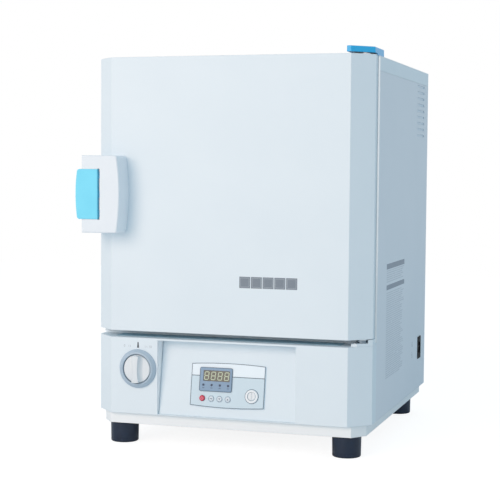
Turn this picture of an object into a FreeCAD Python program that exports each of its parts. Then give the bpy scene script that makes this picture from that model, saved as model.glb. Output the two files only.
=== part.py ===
import FreeCAD, Part
import math
import os

from FreeCAD import Vector

# Laboratory drying oven with a hinged door, a front control section and a rear exhaust.
# Millimetres. x runs to the right, y to the back and z up. While modelling, x = 0 is the middle of
# the cabinet, y = 0 the door's face and z = 0 the floor. The parts are moved to the middle of the
# whole outline only when they are written.

# Cabinet
body_width = 400.0
body_rear = 421.0
corner_chamfer = 28.0
sheet = 1.2
seam = 0.3
cover_seam = 0.1
panel_flange = 14.0
cover_flange = 20.0

# Heights, from the floor up
foot_height = 30.0
tray_height = 15.5
panel_height = 108.2
door_gap = 9.5
door_height = 383.5

# Depths, from the door's face back
door_depth = 36.0
gasket_gap = 8.0
frame_depth = 8.0
frame_sheet = 1.5
frame_edge = 3.5

# Base tray and feet
tray_side_inset = 7.6
tray_set_back = 7.2
tray_corner_inset = 24.0
tray_chamfer_end = 29.0
tray_slot_count = 6
tray_slot_pitch = 24.0
tray_slot_length = 60.0
tray_slot_width = 4.0
tray_slot_first_y = 120.0
tray_slot_row_pitch = 130.0
foot_radius = 20.2
foot_side_inset = 35.8
foot_front_y = 32.5
foot_rounding = 2.0
foot_taper = 0.5
foot_recess_radius = 8.0
foot_recess_depth = 16.0
foot_screw_radius = 3.0
foot_screw_head = 5.5

# Rear cover
rear_slot_count = 12
rear_slot_pitch = 12.0
rear_slot_length = 30.0
rear_slot_width = 4.0
rear_slot_rise = 22.5
rear_screw_rise = 25.0
rear_screw_radius = 1.5
rear_screw_head = 3.2
screw_play = 0.1

# Chamber
side_wall = 50.0
floor_wall = 51.3
roof_wall = 41.7
rear_wall = 71.0
chamber_corner = 10.0
rear_cavity = 16.0
wool_gap = 0.3
wool_front_gap = 2.0

# Shelf rails and wire shelves
rail_front_gap = 23.0
rail_rear_gap = 25.0
rail_first_rise = 40.0
rail_top_room = 35.0
rail_pitch = 30.0
rail_ledge = 10.0
shelf_rod_radius = 2.5
shelf_cross_radius = 1.9
shelf_wire_radius = 1.5
shelf_wire_count = 11
shelf_weld = 0.4
shelf_overhang = 3.0
shelf_side_play = 2.3
shelf_corner = 14.0
shelf_lift = 0.2
shelf_ledges = {"shelf_lower": 2, "shelf_upper": 5}

# Floor plate and sheathed heater under it
floor_plate_side_gap = 12.0
floor_plate_overhang = 15.0
floor_plate_rise = 19.0
floor_hole_radius = 7.0
floor_hole_columns = 5
floor_hole_rows = 5
floor_hole_edge = 42.0
heater_radius = 4.0
heater_side_gap = 45.0
heater_rise = 9.0
heater_front_gap = 33.0
heater_rear_gap = 15.0
heater_tail = 30.0
heater_hole_play = 0.3

# Temperature probe in the rear wall
probe_x = 60.0
probe_drop = 35.0
probe_radius = 3.0
probe_tip_round = 2.0
probe_reach = 50.0
probe_flange = 7.5
probe_flange_height = 6.0
probe_tail = 22.0

# Exhaust pipe
exhaust_drop = 50.0
exhaust_inner = 14.0
exhaust_outer = 16.0
exhaust_stub = 16.0
exhaust_flange = 26.0
exhaust_flange_height = 2.0

# Air intake, its shutter and the knob that turns it
damper_side_inset = 69.0
damper_z = 110.0
knob_radius = 19.8
knob_face = 5.0
knob_grip_height = 12.5
knob_lift = 0.6
knob_grip_base = 10.7
knob_grip_mid = 3.4
knob_grip_end = 5.4
knob_edge = 1.5
bezel_outer = 27.5
bezel_inner = 21.0
bezel_height = 6.0
shaft_radius = 3.0
shaft_play = 0.5
fit_clearance = 0.06
shutter_gap_y = 4.0
shutter_radius = 18.0
shutter_gap = 0.5
port_radius = 20.0
vent_inner = 5.0
vent_outer = 13.0
duct_inner = 14.0
duct_outer = 16.0
duct_bend = 30.0
duct_gap_y = 63.0

# Recess in the control fascia, with a slanting floor
recess_left_inset = 98.5
recess_right_inset = 100.5
recess_lip = 2.7
recess_bottom_y = 4.0
recess_top_y = 21.5
recess_sheet = 1.5
crease_width = 1.0
crease_depth = 1.0
recess_margin = 3.5

# Controller on the slanting floor: x, and the distance s up the slope
plate_left = -54.8
plate_right = 53.0
plate_bottom = 15.5
plate_top = 73.9
plate_arch = 2.2
plate_corner = 2.0
plate_rise = 2.0
display_left = -41.6
display_right = 5.2
display_bottom = 36.1
display_top = 68.6
display_corner = 2.0
display_rise = 3.2
display_round = 0.6
moulding_play = 0.1
window_left = -36.8
window_right = 2.2
window_bottom = 49.9
window_top = 64.8
window_corner = 0.8
window_depth = 1.0
lamp_s = 44.5
lamp_radius = 1.3
lamp_first_x = -36.0
lamp_pitch = 12.1
lamp_count = 4
button_s = 25.85
button_x = -37.0
button_radius = 3.9
button_rise = 4.4
key_first_x = -23.7
key_pitch = 12.15
key_radius = 3.7
key_rise = 3.2
key_round = 1.2
key_names = ["key_left", "key_middle", "key_right"]
key_travel = 1.0
key_clearance = 0.3
key_stem = 3.0
key_foot = 1.2
switch_half = 3.0
dial_x = 35.05
dial_s = 32.05
dial_radius = 5.8
dial_rise = 3.0
dial_round = 0.8
dial_slot_half_width = 0.6
dial_slot_half_length = 4.2
dial_slot_depth = 1.2
dial_ring_radius = 9.2
dial_ring_rise = 3.4
dial_ring_round = 1.0
dial_pot_radius = 7.0
board_gap = 9.0
board_thickness = 1.6
board_overhang = 3.0
board_post_radius = 1.8
board_post_inset = 2.0

# Relay and heat sink on the cabinet's floor
relay_x = 40.0
relay_y = 150.0
relay_base = 8.0
relay_sink_width = 70.0
relay_sink_length = 65.0
relay_sink_height = 34.0
relay_fin_count = 8
relay_fin_width = 2.0
relay_block_inset = 12.0
relay_block_length = 25.0
relay_block_height = 42.0

# Circuit breaker in the right-hand side
breaker_rear_inset = 38.5
breaker_length = 24.0
breaker_rise = 47.0
breaker_height = 35.0
breaker_proud = 1.0
breaker_depth = 44.0
breaker_rim = 1.5
breaker_corner = 1.5
breaker_well_half = 9.0
lever_depth = 6.5
lever_radius = 4.5
lever_length = 6.6
lever_width = 13.0
lever_shoulder = 1.0
lever_half_thickness = 1.6
lever_tilt = 15.0
lever_play = 0.3

# Louvres near the top rear of both sides
louvre_count = 9
louvre_pitch = 9.5
louvre_width = 3.5
louvre_rear_inset = 33.0
louvre_length = 58.0
louvre_top_gap = 4.7
louvre_lean = 2.8
louvre_end_room = 2.0

# Cable gland at the rear
gland_side_inset = 80.0
gland_z = 75.0
gland_bore = 4.5
gland_thread = 8.0
gland_thread_length = 8.0
gland_nut = 12.0
gland_nut_height = 5.0
gland_locknut_height = 4.0
gland_dome_step = 2.0
gland_length = 15.0

# Hinges
hinge_side_inset = 14.0
hinge_y = 24.0
pin_radius = 3.5
bush_radius = 5.5
bush_flange = 6.8
bush_flange_height = 1.0
bush_length = 12.0
bush_seat = 0.5
cap_height = 8.0
cap_gap = 2.3
cap_width = 33.0
cap_front_corner = 1.2
cap_rear_corner = 2.0
cap_rear_reach = 41.0
cap_inset = 1.5
cap_wall = 2.0
cap_rest_gap = 1.0
bracket_plate = 3.0
bracket_gap = 0.6
bracket_pad_gap = 3.5
hinge_block_height = 8.7
hinge_block_width = 26.0
hinge_block_reach = 14.0
hinge_leg = 3.0
hinge_cheek = 5.4
hinge_base = 4.0
hinge_screw_radius = 2.0
upper_screw_left = 10.0
upper_screw_right = 2.0
upper_screw_front = 14.0
upper_screw_rear = 30.0
hinge_screw_head = 3.2
hinge_block_screw_radius = 1.5
hinge_block_screw_head = 2.6
washer_step = 0.4

# Door
plug_gap = 4.0
plug_depth = 14.0
plug_taper = 3.0
plug_corner = 12.0
gasket_overlap = 8.0
gasket_width = 14.0
gasket_clearance = 0.3
gasket_rounding = 3.0
gasket_corner = 10.0

# Handle
handle_overhang = 2.0
handle_reach = 50.3
handle_bow = 4.3
handle_rise = 138.8
handle_height = 107.4
handle_front = -35.5
handle_wall = 4.0
handle_edge = 2.0
handle_corner = 4.0
handle_rear_end = 20.0
paddle_overhang = 8.8
paddle_reach = 22.6
paddle_bow = 2.0
paddle_corner = 4.0
paddle_edge = 1.2
paddle_height = 69.6
paddle_thickness = 5.0
paddle_proud = 1.0
paddle_side_gap = 3.0
paddle_end_gap = 0.5
paddle_lip = 4.3
paddle_lip_depth = 7.5
paddle_pin_inset = 20.0
paddle_pin_depth = 8.5
paddle_pin_radius = 1.5
knuckle_radius = 3.8
knuckle_height = 10.0
knuckle_inset = 3.0
tail_reach = 21.0
tail_thickness = 4.0
tail_gap = 0.3

# Latch
latch_inset = 16.0
latch_pivot_inset = 16.0
latch_tail_overlap = 8.0
latch_thickness = 5.0
latch_bar = 6.0
latch_nose_round = 2.0
latch_barb = 5.0
latch_barb_length = 4.0
latch_barb_round = 1.0
latch_catch_gap = 2.5
latch_lip_gap = 1.5
latch_boss_radius = 4.5
latch_boss_height = 12.0
latch_pin_radius = 2.0
latch_slot_half_x = 8.0
latch_slot_half_z = 8.0
latch_case_wall_x = 2.0
latch_case_wall_z = 4.0
keeper_thickness = 2.0
keeper_half_height = 24.0
keeper_window_half = 11.0
keeper_right_room = 13.0
keeper_rim = 7.0

# Heights and depths that follow
half = body_width / 2
panel_z = foot_height + tray_height
panel_top = panel_z + panel_height
door_z = panel_top + door_gap
body_top = door_z + door_height
frame_y = door_depth + gasket_gap
seam_y = frame_y + frame_depth
cover_z = body_top - cover_flange
tray_front_half = half - tray_corner_inset
foot_spacing_half = half - foot_side_inset

# Chamber's places
chamber_half = half - side_wall
chamber_bottom = panel_top + floor_wall
chamber_top = body_top - roof_wall
chamber_rear = body_rear - rear_wall
insulation_rear = body_rear - rear_cavity
rail_front_y = seam_y + rail_front_gap
rail_length = chamber_rear - rail_rear_gap - rail_front_y
rail_first_ledge = chamber_bottom + rail_first_rise
rail_count = int((chamber_top - rail_top_room - rail_first_ledge) // rail_pitch) + 1
floor_plate_half = chamber_half - floor_plate_side_gap
floor_plate_front = rail_front_y - floor_plate_overhang
floor_plate_rear = rail_front_y + rail_length + floor_plate_overhang
floor_plate_top = chamber_bottom + floor_plate_rise + sheet
heater_bend = (chamber_half - heater_side_gap) / 3
heater_front_y = seam_y + heater_front_gap
heater_rear_y = chamber_rear - heater_rear_gap
heater_end_y = chamber_rear + heater_tail
probe_z = chamber_top - probe_drop
exhaust_z = chamber_top - exhaust_drop
rear_end = body_rear + exhaust_stub

# Control section's places
damper_x = damper_side_inset - half
shutter_y = seam_y + shutter_gap_y
duct_y = seam_y + duct_gap_y
recess_left = recess_left_inset - half
recess_right = half - recess_right_inset
recess_bottom_z = panel_z + sheet
recess_top_z = panel_top - recess_lip
recess_run = recess_top_y - recess_bottom_y
recess_climb = recess_top_z - recess_bottom_z
slope_lean = math.degrees(math.atan2(recess_run, recess_climb))
breaker_y1 = body_rear - breaker_rear_inset
breaker_y0 = breaker_y1 - breaker_length
breaker_z0 = panel_z + breaker_rise
breaker_z1 = breaker_z0 + breaker_height
louvre_y1 = body_rear - louvre_rear_inset
louvre_y0 = louvre_y1 - louvre_length
louvre_first_z = cover_z - louvre_top_gap - (louvre_count - 1) * louvre_pitch
gland_x = half - gland_side_inset

# Places on the door and its hinges
hinge_x = half - hinge_side_inset
cap_right = half - cap_inset
cap_left = cap_right - cap_width
cap_rear = frame_y + cap_rear_reach
cap_z = body_top + cap_gap
cap_top = cap_z + cap_height
hinge_block_left = half - hinge_block_width
hinge_cheek_left = half - hinge_cheek
handle_left = -half - handle_overhang
handle_right = handle_reach - half
handle_bulge = handle_right + handle_bow
handle_bottom = door_z + handle_rise
handle_top = handle_bottom + handle_height
latch_z = (handle_bottom + handle_top) / 2
paddle_left = handle_left - paddle_overhang
paddle_right = paddle_reach - half
paddle_bottom = latch_z - paddle_height / 2
paddle_top = latch_z + paddle_height / 2
paddle_pin_x = paddle_pin_inset - half
paddle_pin_y = handle_front + paddle_pin_depth
notch_right = paddle_right + paddle_side_gap
tail_end_y = paddle_pin_y + tail_reach
latch_x = latch_inset - half
latch_pivot_y = door_depth - latch_pivot_inset
latch_front_y = tail_end_y - latch_tail_overlap
latch_catch_y = frame_y + frame_sheet + keeper_thickness + latch_catch_gap
latch_rear_y = latch_catch_y + latch_barb_length
keeper_lip_x = latch_x - latch_bar / 2 - latch_barb - latch_lip_gap

# Middle of the whole outline
outline_middle_x = (paddle_left + half + breaker_proud) / 2
outline_middle_y = (handle_front - paddle_proud + rear_end) / 2


# Shared forms

def rounded_wire(corners, place):
    """Closed wire through corners (a, b) or (a, b, radius), each radius drawn as a tangent arc."""
    ends = []
    for i, corner in enumerate(corners):
        here = Vector(corner[0], corner[1], 0)
        radius = corner[2] if len(corner) > 2 else 0.0
        if radius <= 0:
            ends.append((here, None, here))
            continue
        before = corners[i - 1]
        after = corners[(i + 1) % len(corners)]
        to_before = (Vector(before[0], before[1], 0) - here).normalize()
        to_after = (Vector(after[0], after[1], 0) - here).normalize()
        half_angle = to_before.getAngle(to_after) / 2
        reach = radius / math.tan(half_angle)
        middle = (to_before + to_after).normalize() * (radius / math.sin(half_angle) - radius)
        ends.append((here + to_before * reach, here + middle, here + to_after * reach))
    edges = []
    for i, (start, middle, end) in enumerate(ends):
        if middle is not None:
            edges.append(Part.Arc(place(start), place(middle), place(end)).toShape())
        following = ends[(i + 1) % len(ends)][0]
        if (following - end).Length > 1e-6:
            edges.append(Part.LineSegment(place(end), place(following)).toShape())
    return Part.Wire(edges)


def plan_face(corners, z):
    return Part.Face(rounded_wire(corners, lambda p: Vector(p.x, p.y, z)))


def plan_prism(corners, z0, z1):
    """Solid with a plan outline (x, y) between two heights."""
    return plan_face(corners, z0).extrude(Vector(0, 0, z1 - z0))


def front_prism(corners, y0, y1):
    """Solid with a front outline (x, z) between two depths."""
    face = Part.Face(rounded_wire(corners, lambda p: Vector(p.x, y0, p.y)))
    return face.extrude(Vector(0, y1 - y0, 0))


def side_prism(corners, x0, x1):
    """Solid with a side outline (y, z) between two widths."""
    face = Part.Face(rounded_wire(corners, lambda p: Vector(x0, p.x, p.y)))
    return face.extrude(Vector(x1 - x0, 0, 0))


def rect(a0, a1, b0, b1, radius=0.0):
    return [(a0, b0, radius), (a1, b0, radius), (a1, b1, radius), (a0, b1, radius)]


def block(x0, x1, y0, y1, z0, z1):
    return Part.makeBox(x1 - x0, y1 - y0, z1 - z0, Vector(x0, y0, z0))


def rod(x, y, z, radius, length, axis="y"):
    """Cylinder that starts at a point and runs along +x, +y or +z."""
    along = {"x": Vector(1, 0, 0), "y": Vector(0, 1, 0), "z": Vector(0, 0, 1)}[axis]
    return Part.makeCylinder(radius, length, Vector(x, y, z), along)


def turned(corners, x, y, z, axis):
    """Revolved solid: corners are (radius, height) along an axis that starts at a point."""
    face = Part.Face(rounded_wire(corners, lambda p: Vector(p.x, 0, p.y)))
    solid = face.revolve(Vector(0, 0, 0), Vector(0, 0, 1), 360)
    solid.Placement = FreeCAD.Placement(Vector(x, y, z), FreeCAD.Rotation(Vector(0, 0, 1), axis))
    return solid


def joined(shapes):
    first = shapes[0]
    return first.fuse(shapes[1:]).removeSplitter()


def single(shape):
    """The one solid of a boolean result."""
    return shape.Solids[0] if len(shape.Solids) == 1 else shape


def mirrored(shape):
    return shape.mirror(Vector(0, 0, 0), Vector(1, 0, 0))


def on_slope(shape):
    """Moves a shape from (x, s up the slope, height off it) onto the recess's slanting floor."""
    turn = FreeCAD.Rotation(Vector(1, 0, 0), 90 - slope_lean)
    shape.Placement = FreeCAD.Placement(Vector(0, recess_bottom_y, recess_bottom_z), turn).multiply(
        shape.Placement)
    return shape


def body_outline(inset, rear):
    """Plan outline with both front corners chamfered, moved inwards by an inset."""
    shift = inset * (math.sqrt(2) - 1)
    front_x = half - corner_chamfer - shift
    side_y = corner_chamfer + shift
    side_x = half - inset
    return [(-front_x, inset), (front_x, inset), (side_x, side_y), (side_x, rear), (-side_x, rear),
            (-side_x, side_y)]


# Base tray and feet

def foot_places():
    rear_y = body_rear - foot_front_y
    return {"foot_front_left": (-foot_spacing_half, foot_front_y),
            "foot_front_right": (foot_spacing_half, foot_front_y),
            "foot_rear_left": (-foot_spacing_half, rear_y),
            "foot_rear_right": (foot_spacing_half, rear_y)}


def make_base_tray():
    side = half - tray_side_inset
    corners = [(-tray_front_half, tray_set_back), (tray_front_half, tray_set_back),
               (side, tray_chamfer_end), (side, body_rear), (-side, body_rear), (-side, tray_chamfer_end)]
    outer = plan_face(corners, foot_height)
    inner = outer.makeOffset2D(-sheet, 2)
    inner.translate(Vector(0, 0, sheet))
    tray = outer.extrude(Vector(0, 0, tray_height)).cut(inner.extrude(Vector(0, 0, tray_height)))
    for x, y in foot_places().values():
        tray = tray.cut(rod(x, y, 0, foot_screw_radius + fit_clearance, panel_z, "z"))
    reach = tray_slot_width / 2
    for row in range(2):
        for column in range(tray_slot_count):
            x = (column - (tray_slot_count - 1) / 2) * tray_slot_pitch
            y = tray_slot_first_y + row * tray_slot_row_pitch
            slot = rect(x - reach, x + reach, y, y + tray_slot_length, reach - 0.01)
            tray = tray.cut(plan_prism(slot, 0, panel_z))
    return single(tray)


def make_foot(x, y):
    return turned([(foot_recess_radius, 0), (foot_radius - foot_taper, 0, foot_rounding), (foot_radius, foot_height),
                   (foot_screw_radius + fit_clearance, foot_height),
                   (foot_screw_radius + fit_clearance, foot_recess_depth),
                   (foot_recess_radius, foot_recess_depth)], x, y, 0, Vector(0, 0, 1))


# Cabinet panels

def side_panel_outline():
    flange_x = half - panel_flange
    return [(half, seam_y), (half, body_rear), (half - sheet, body_rear), (half - sheet, body_rear - sheet),
            (flange_x, body_rear - sheet), (flange_x, body_rear - 2 * sheet),
            (half - sheet, body_rear - 2 * sheet), (half - sheet, seam_y + sheet),
            (flange_x, seam_y + sheet), (flange_x, seam_y)]


def make_side_panel():
    panel = plan_prism(side_panel_outline(), panel_z, cover_z - cover_seam)
    foot_flange = block(half - panel_flange, half - sheet, seam_y + sheet, body_rear - 2 * sheet,
                        panel_z, panel_z + sheet)
    panel = joined([panel, foot_flange])
    radius = louvre_width / 2 - 0.01
    slats = []
    for i in range(louvre_count):
        low = louvre_first_z + i * louvre_pitch - louvre_width / 2
        high = low + louvre_width
        slot = rect(louvre_y0, louvre_y1, low, high, radius)
        panel = panel.cut(side_prism(slot, half - 2 * sheet, half + sheet))
        root = half - sheet
        tip = root - louvre_lean
        slats.append(front_prism([(root, low), (tip, high), (tip, high - sheet), (root, low - sheet)],
                                 louvre_y0, louvre_y1))
    return joined([panel] + slats)


def make_side_panel_right():
    window = rect(breaker_y0 + breaker_rim - seam, breaker_y1 - breaker_rim + seam,
                  breaker_z0 + breaker_rim - seam, breaker_z1 - breaker_rim + seam)
    return single(make_side_panel().cut(side_prism(window, half - 2 * sheet, half + sheet)))


def make_side_panel_left():
    """The other panel's mirror image, with its front flange cut away round the latch's barb."""
    relief = latch_slot_half_z + 6.0
    notch = block(-half + sheet, -half + panel_flange + 1, seam_y - 1, seam_y + sheet,
                  latch_z - relief, latch_z + relief)
    return single(mirrored(make_side_panel()).cut(notch))


def make_top_cover():
    """Top plate with a flange turned down on all four sides, the rear one set in for the rear cover."""
    inner = half - sheet
    top = front_prism([(-half, cover_z), (-half, body_top), (half, body_top), (half, cover_z),
                       (inner, cover_z), (inner, body_top - sheet), (-inner, body_top - sheet),
                       (-inner, cover_z)], seam_y, body_rear)
    front = block(-inner, inner, seam_y, seam_y + sheet, body_top - sheet - panel_flange, body_top - sheet)
    rear = block(-inner, inner, body_rear - 2 * sheet, body_rear - sheet,
                 body_top - sheet - panel_flange, body_top - sheet)
    return single(joined([top, front, rear]))


def rear_screw_places():
    edge = half - panel_flange / 2 - sheet
    low = panel_z + rear_screw_rise
    high = body_top - sheet - panel_flange / 2
    middle = (low + high) / 2
    return [(side * edge, z) for side in (-1, 1) for z in (low, middle, high)] + [(-60.0, high), (60.0, high)]


def make_rear_cover():
    edge = half - sheet - seam
    cover = front_prism(rect(-edge, edge, panel_z + seam, body_top - sheet - seam),
                        body_rear - sheet, body_rear)
    cut = [rod(0, body_rear - 5, exhaust_z, exhaust_outer + fit_clearance, 10),
           rod(gland_x, body_rear - 5, gland_z, gland_thread + fit_clearance, 10)]
    reach = rear_slot_width / 2
    low = panel_z + rear_slot_rise
    for i in range(rear_slot_count):
        x = (i - (rear_slot_count - 1) / 2) * rear_slot_pitch
        slot = rect(x - reach, x + reach, low, low + rear_slot_length, reach - 0.01)
        cut.append(front_prism(slot, body_rear - 5, body_rear + 5))
    for x, z in rear_screw_places():
        cut.append(rod(x, body_rear - 5, z, rear_screw_radius + screw_play, 10))
    return single(cover.cut(cut))


def rounded_case(reach, y0, z0, z1, radius):
    """Block back to the panels' seam, with rounded front edges at both sides and along the top."""
    case = block(-reach, reach, y0, seam_y, z0, z1)
    edges = []
    for edge in case.Edges:
        box = edge.BoundBox
        if box.YMax < y0 + seam and (box.ZLength > box.XLength or box.ZMin > z1 - seam):
            edges.append(edge)
    return case.makeFillet(radius, edges)


def make_front_frame():
    """Pressed frame round the chamber's mouth: front plate, outer flange and a lip at the mouth."""
    wall = frame_sheet
    outer = rounded_case(half, frame_y, panel_top, body_top, frame_edge)
    hollow = rounded_case(half - wall, frame_y + wall, panel_top + wall, body_top - wall, frame_edge - wall)
    lip = front_prism(rect(-chamber_half - wall, chamber_half + wall, chamber_bottom - wall,
                           chamber_top + wall, chamber_corner + wall), frame_y + wall, seam_y)
    mouth = front_prism(rect(-chamber_half, chamber_half, chamber_bottom, chamber_top, chamber_corner),
                        frame_y, seam_y)
    window = front_prism(rect(latch_x - 1.5 * latch_slot_half_x, latch_x + 1.5 * latch_slot_half_x,
                              latch_z - 1.5 * latch_slot_half_z, latch_z + 1.5 * latch_slot_half_z, 1.5),
                         frame_y, frame_y + wall)
    return single(joined([outer.cut(hollow), lip]).cut([mouth, window]))


# Control section

def make_control_fascia():
    """Front skin with chamfered corners and returns above, below and at both sides."""
    outer = plan_prism(body_outline(0, seam_y), panel_z, panel_top)
    inner = plan_prism(body_outline(sheet, seam_y), panel_z + sheet, panel_top - sheet)
    mouth = front_prism(rect(recess_left, recess_right, recess_bottom_z, recess_top_z), 0, sheet)
    shaft_hole = rod(damper_x, 0, damper_z, shaft_radius + shaft_play, sheet)
    return single(outer.cut([inner, mouth, shaft_hole]))


def make_control_recess():
    """Tray behind the fascia's window, deep at the top, with a crease round its slanting floor."""
    back = recess_sheet / math.cos(math.radians(slope_lean))
    roof = recess_top_z + sheet
    outer = side_prism([(sheet, recess_bottom_z), (recess_bottom_y + back, recess_bottom_z),
                        (recess_top_y + back, recess_top_z), (recess_top_y + back, roof), (sheet, roof)],
                       recess_left - sheet, recess_right + sheet)
    inner = side_prism([(0, recess_bottom_z), (recess_bottom_y, recess_bottom_z),
                        (recess_top_y, recess_top_z), (0, recess_top_z)], recess_left, recess_right)
    margin = recess_margin
    window = on_slope(plan_prism(rect(plate_left + margin, plate_right - margin, plate_bottom + margin,
                                      plate_top - margin), -4 * recess_sheet, recess_sheet))
    length = recess_climb / math.cos(math.radians(slope_lean))
    creases = [on_slope(block(left, left + crease_width, 0, length, -crease_depth, crease_depth))
               for left in (recess_left, recess_right - crease_width)]
    creases.append(on_slope(block(recess_left, recess_right, length - crease_width, length,
                                  -crease_depth, crease_depth)))
    return single(outer.cut([inner, window] + creases))


def key_places():
    return {name: key_first_x + i * key_pitch for i, name in enumerate(key_names)}


def barrel_outline(z):
    """Controller plate outline: straight sides, and top and bottom edges that arch outwards."""
    def point(a, b):
        return Vector(a, b, z)
    middle = (plate_left + plate_right) / 2
    corners = [point(plate_left, plate_bottom), point(plate_right, plate_bottom),
               point(plate_right, plate_top), point(plate_left, plate_top)]
    low = Part.Arc(corners[0], point(middle, plate_bottom - plate_arch), corners[1]).toShape()
    high = Part.Arc(corners[2], point(middle, plate_top + plate_arch), corners[3]).toShape()
    right = Part.LineSegment(corners[1], corners[2]).toShape()
    left = Part.LineSegment(corners[3], corners[0]).toShape()
    return Part.Face(Part.Wire([low, right, high, left]))


def make_control_plate():
    plate = barrel_outline(0).extrude(Vector(0, 0, plate_rise))
    uprights = [edge for edge in plate.Edges
                if abs(edge.tangentAt(edge.FirstParameter).z) > 0.99]
    plate = plate.makeFillet(plate_corner, uprights)
    ring = turned([(dial_radius + key_clearance, 0), (dial_ring_radius, 0),
                   (dial_ring_radius, dial_ring_rise, dial_ring_round),
                   (dial_radius + key_clearance, dial_ring_rise)], dial_x, dial_s, 0, Vector(0, 0, 1))
    plate = plate.fuse(ring)
    play = moulding_play
    cut = [plan_prism(rect(display_left - play, display_right + play, display_bottom - play,
                           display_top + play, display_corner), 0, plate_rise),
           rod(dial_x, dial_s, 0, dial_radius + key_clearance, plate_rise, "z"),
           rod(button_x, button_s, 0, button_radius + key_clearance, plate_rise, "z")]
    for x in key_places().values():
        cut.append(rod(x, button_s, 0, key_radius + key_clearance, plate_rise, "z"))
    return single(on_slope(plate.cut(cut).removeSplitter()))


def lamp_xs():
    return [lamp_first_x + i * lamp_pitch for i in range(lamp_count)]


def make_display_bezel():
    bezel = plan_prism(rect(display_left, display_right, display_bottom, display_top, display_corner),
                       0, display_rise)
    top_edges = [edge for edge in bezel.Edges
                 if all(abs(vertex.Z - display_rise) < 1e-6 for vertex in edge.Vertexes)]
    bezel = bezel.makeFillet(display_round, top_edges)
    cut = [plan_prism(rect(window_left, window_right, window_bottom, window_top, window_corner),
                      display_rise - 2 * window_depth, display_rise)]
    for x in lamp_xs():
        cut.append(rod(x, lamp_s, display_rise - 2 * window_depth, lamp_radius + fit_clearance, 5, "z"))
    return single(on_slope(bezel.cut(cut)))


def make_display_window():
    play = moulding_play
    return on_slope(plan_prism(rect(window_left + play, window_right - play, window_bottom + play,
                                    window_top - play, window_corner - play), display_rise - 2 * window_depth,
                               display_rise - window_depth / 2))


def make_indicator_lamps():
    lamps = [rod(x, lamp_s, display_rise - 2 * window_depth, lamp_radius, 2 * window_depth, "z")
             for x in lamp_xs()]
    return on_slope(Part.makeCompound(lamps))


def make_push_button(x, radius, rise):
    """Round cap with a rounded edge, and a wider foot behind the plate that keeps it in."""
    foot_radius_inside = radius + key_foot
    foot_top = -key_clearance
    return on_slope(turned([(0, -key_stem), (foot_radius_inside, -key_stem), (foot_radius_inside, foot_top),
                            (radius, foot_top), (radius, rise, key_round), (0, rise)],
                           x, button_s, 0, Vector(0, 0, 1)))


def make_setting_dial():
    dial = turned([(0, -key_stem), (dial_radius + key_foot, -key_stem),
                   (dial_radius + key_foot, -key_clearance), (dial_radius, -key_clearance),
                   (dial_radius, dial_rise, dial_round), (0, dial_rise)],
                  dial_x, dial_s, 0, Vector(0, 0, 1))
    slot = block(dial_x - dial_slot_half_width, dial_x + dial_slot_half_width,
                 dial_s - dial_slot_half_length, dial_s + dial_slot_half_length,
                 dial_rise - dial_slot_depth, dial_rise + 1)
    return single(on_slope(dial.cut(slot)))


def make_control_board():
    """Circuit board on four posts, with the display module, switches and the dial's potentiometer."""
    back = -board_gap
    face = back + board_thickness
    low = plate_bottom - board_overhang
    high = plate_top + board_overhang
    pieces = [block(plate_left, plate_right, low, high, back, face)]
    pieces.append(block(display_left + display_corner, display_right - display_corner,
                        display_bottom + display_corner, display_top - display_corner, face, 0))
    switch_top = -key_stem - key_travel - key_clearance
    reach = switch_half
    for x in [button_x] + list(key_places().values()):
        pieces.append(block(x - reach, x + reach, button_s - reach, button_s + reach, face, switch_top))
    pieces.append(rod(dial_x, dial_s, face, dial_pot_radius, -key_stem - key_clearance - face, "z"))
    for x in (plate_left + board_post_inset, plate_right - board_post_inset):
        for s in (low + board_post_inset, high - board_post_inset):
            pieces.append(rod(x, s, face, board_post_radius, -recess_sheet - face, "z"))
    return single(on_slope(joined(pieces)))


def make_relay_module():
    """Solid-state relay on a finned heat sink that stands on the tray."""
    floor = foot_height + sheet
    sink_right = relay_x + relay_sink_width
    sink_rear = relay_y + relay_sink_length
    pieces = [block(relay_x, sink_right, relay_y, sink_rear, floor, floor + relay_base)]
    for i in range(relay_fin_count):
        x = relay_x + i * (relay_sink_width - relay_fin_width) / (relay_fin_count - 1)
        pieces.append(block(x, x + relay_fin_width, relay_y, sink_rear, floor + relay_base,
                            floor + relay_sink_height))
    pieces.append(block(relay_x + relay_block_inset, sink_right - relay_block_inset, sink_rear,
                        sink_rear + relay_block_length, floor, floor + relay_block_height))
    return single(joined(pieces))


def make_knob_bezel():
    return turned([(bezel_inner, 0), (bezel_outer, 0), (bezel_outer, 1.6, 1.0),
                   (bezel_inner + 2.2, bezel_height, 2.6), (bezel_inner, bezel_height, 0.8)],
                  damper_x, 0, damper_z, Vector(0, -1, 0))


def grip_section(z, front_half):
    """Section across the knob's grip: wide at the face, narrow in front, with hollow sides."""
    base = knob_face - 0.6
    top = knob_grip_height
    middle = (knob_grip_base + 3 * front_half) / 4

    def point(a, b):
        return Vector(damper_x + a, -b, damper_z + z)
    low_mid = base + 0.42 * (top - base)
    right = Part.Arc(point(knob_grip_base, base), point(middle, low_mid), point(front_half, top)).toShape()
    front = Part.LineSegment(point(front_half, top), point(-front_half, top)).toShape()
    left = Part.Arc(point(-front_half, top), point(-middle, low_mid), point(-knob_grip_base, base)).toShape()
    back = Part.LineSegment(point(-knob_grip_base, base), point(knob_grip_base, base)).toShape()
    return Part.Wire([right, front, left, back])


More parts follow.
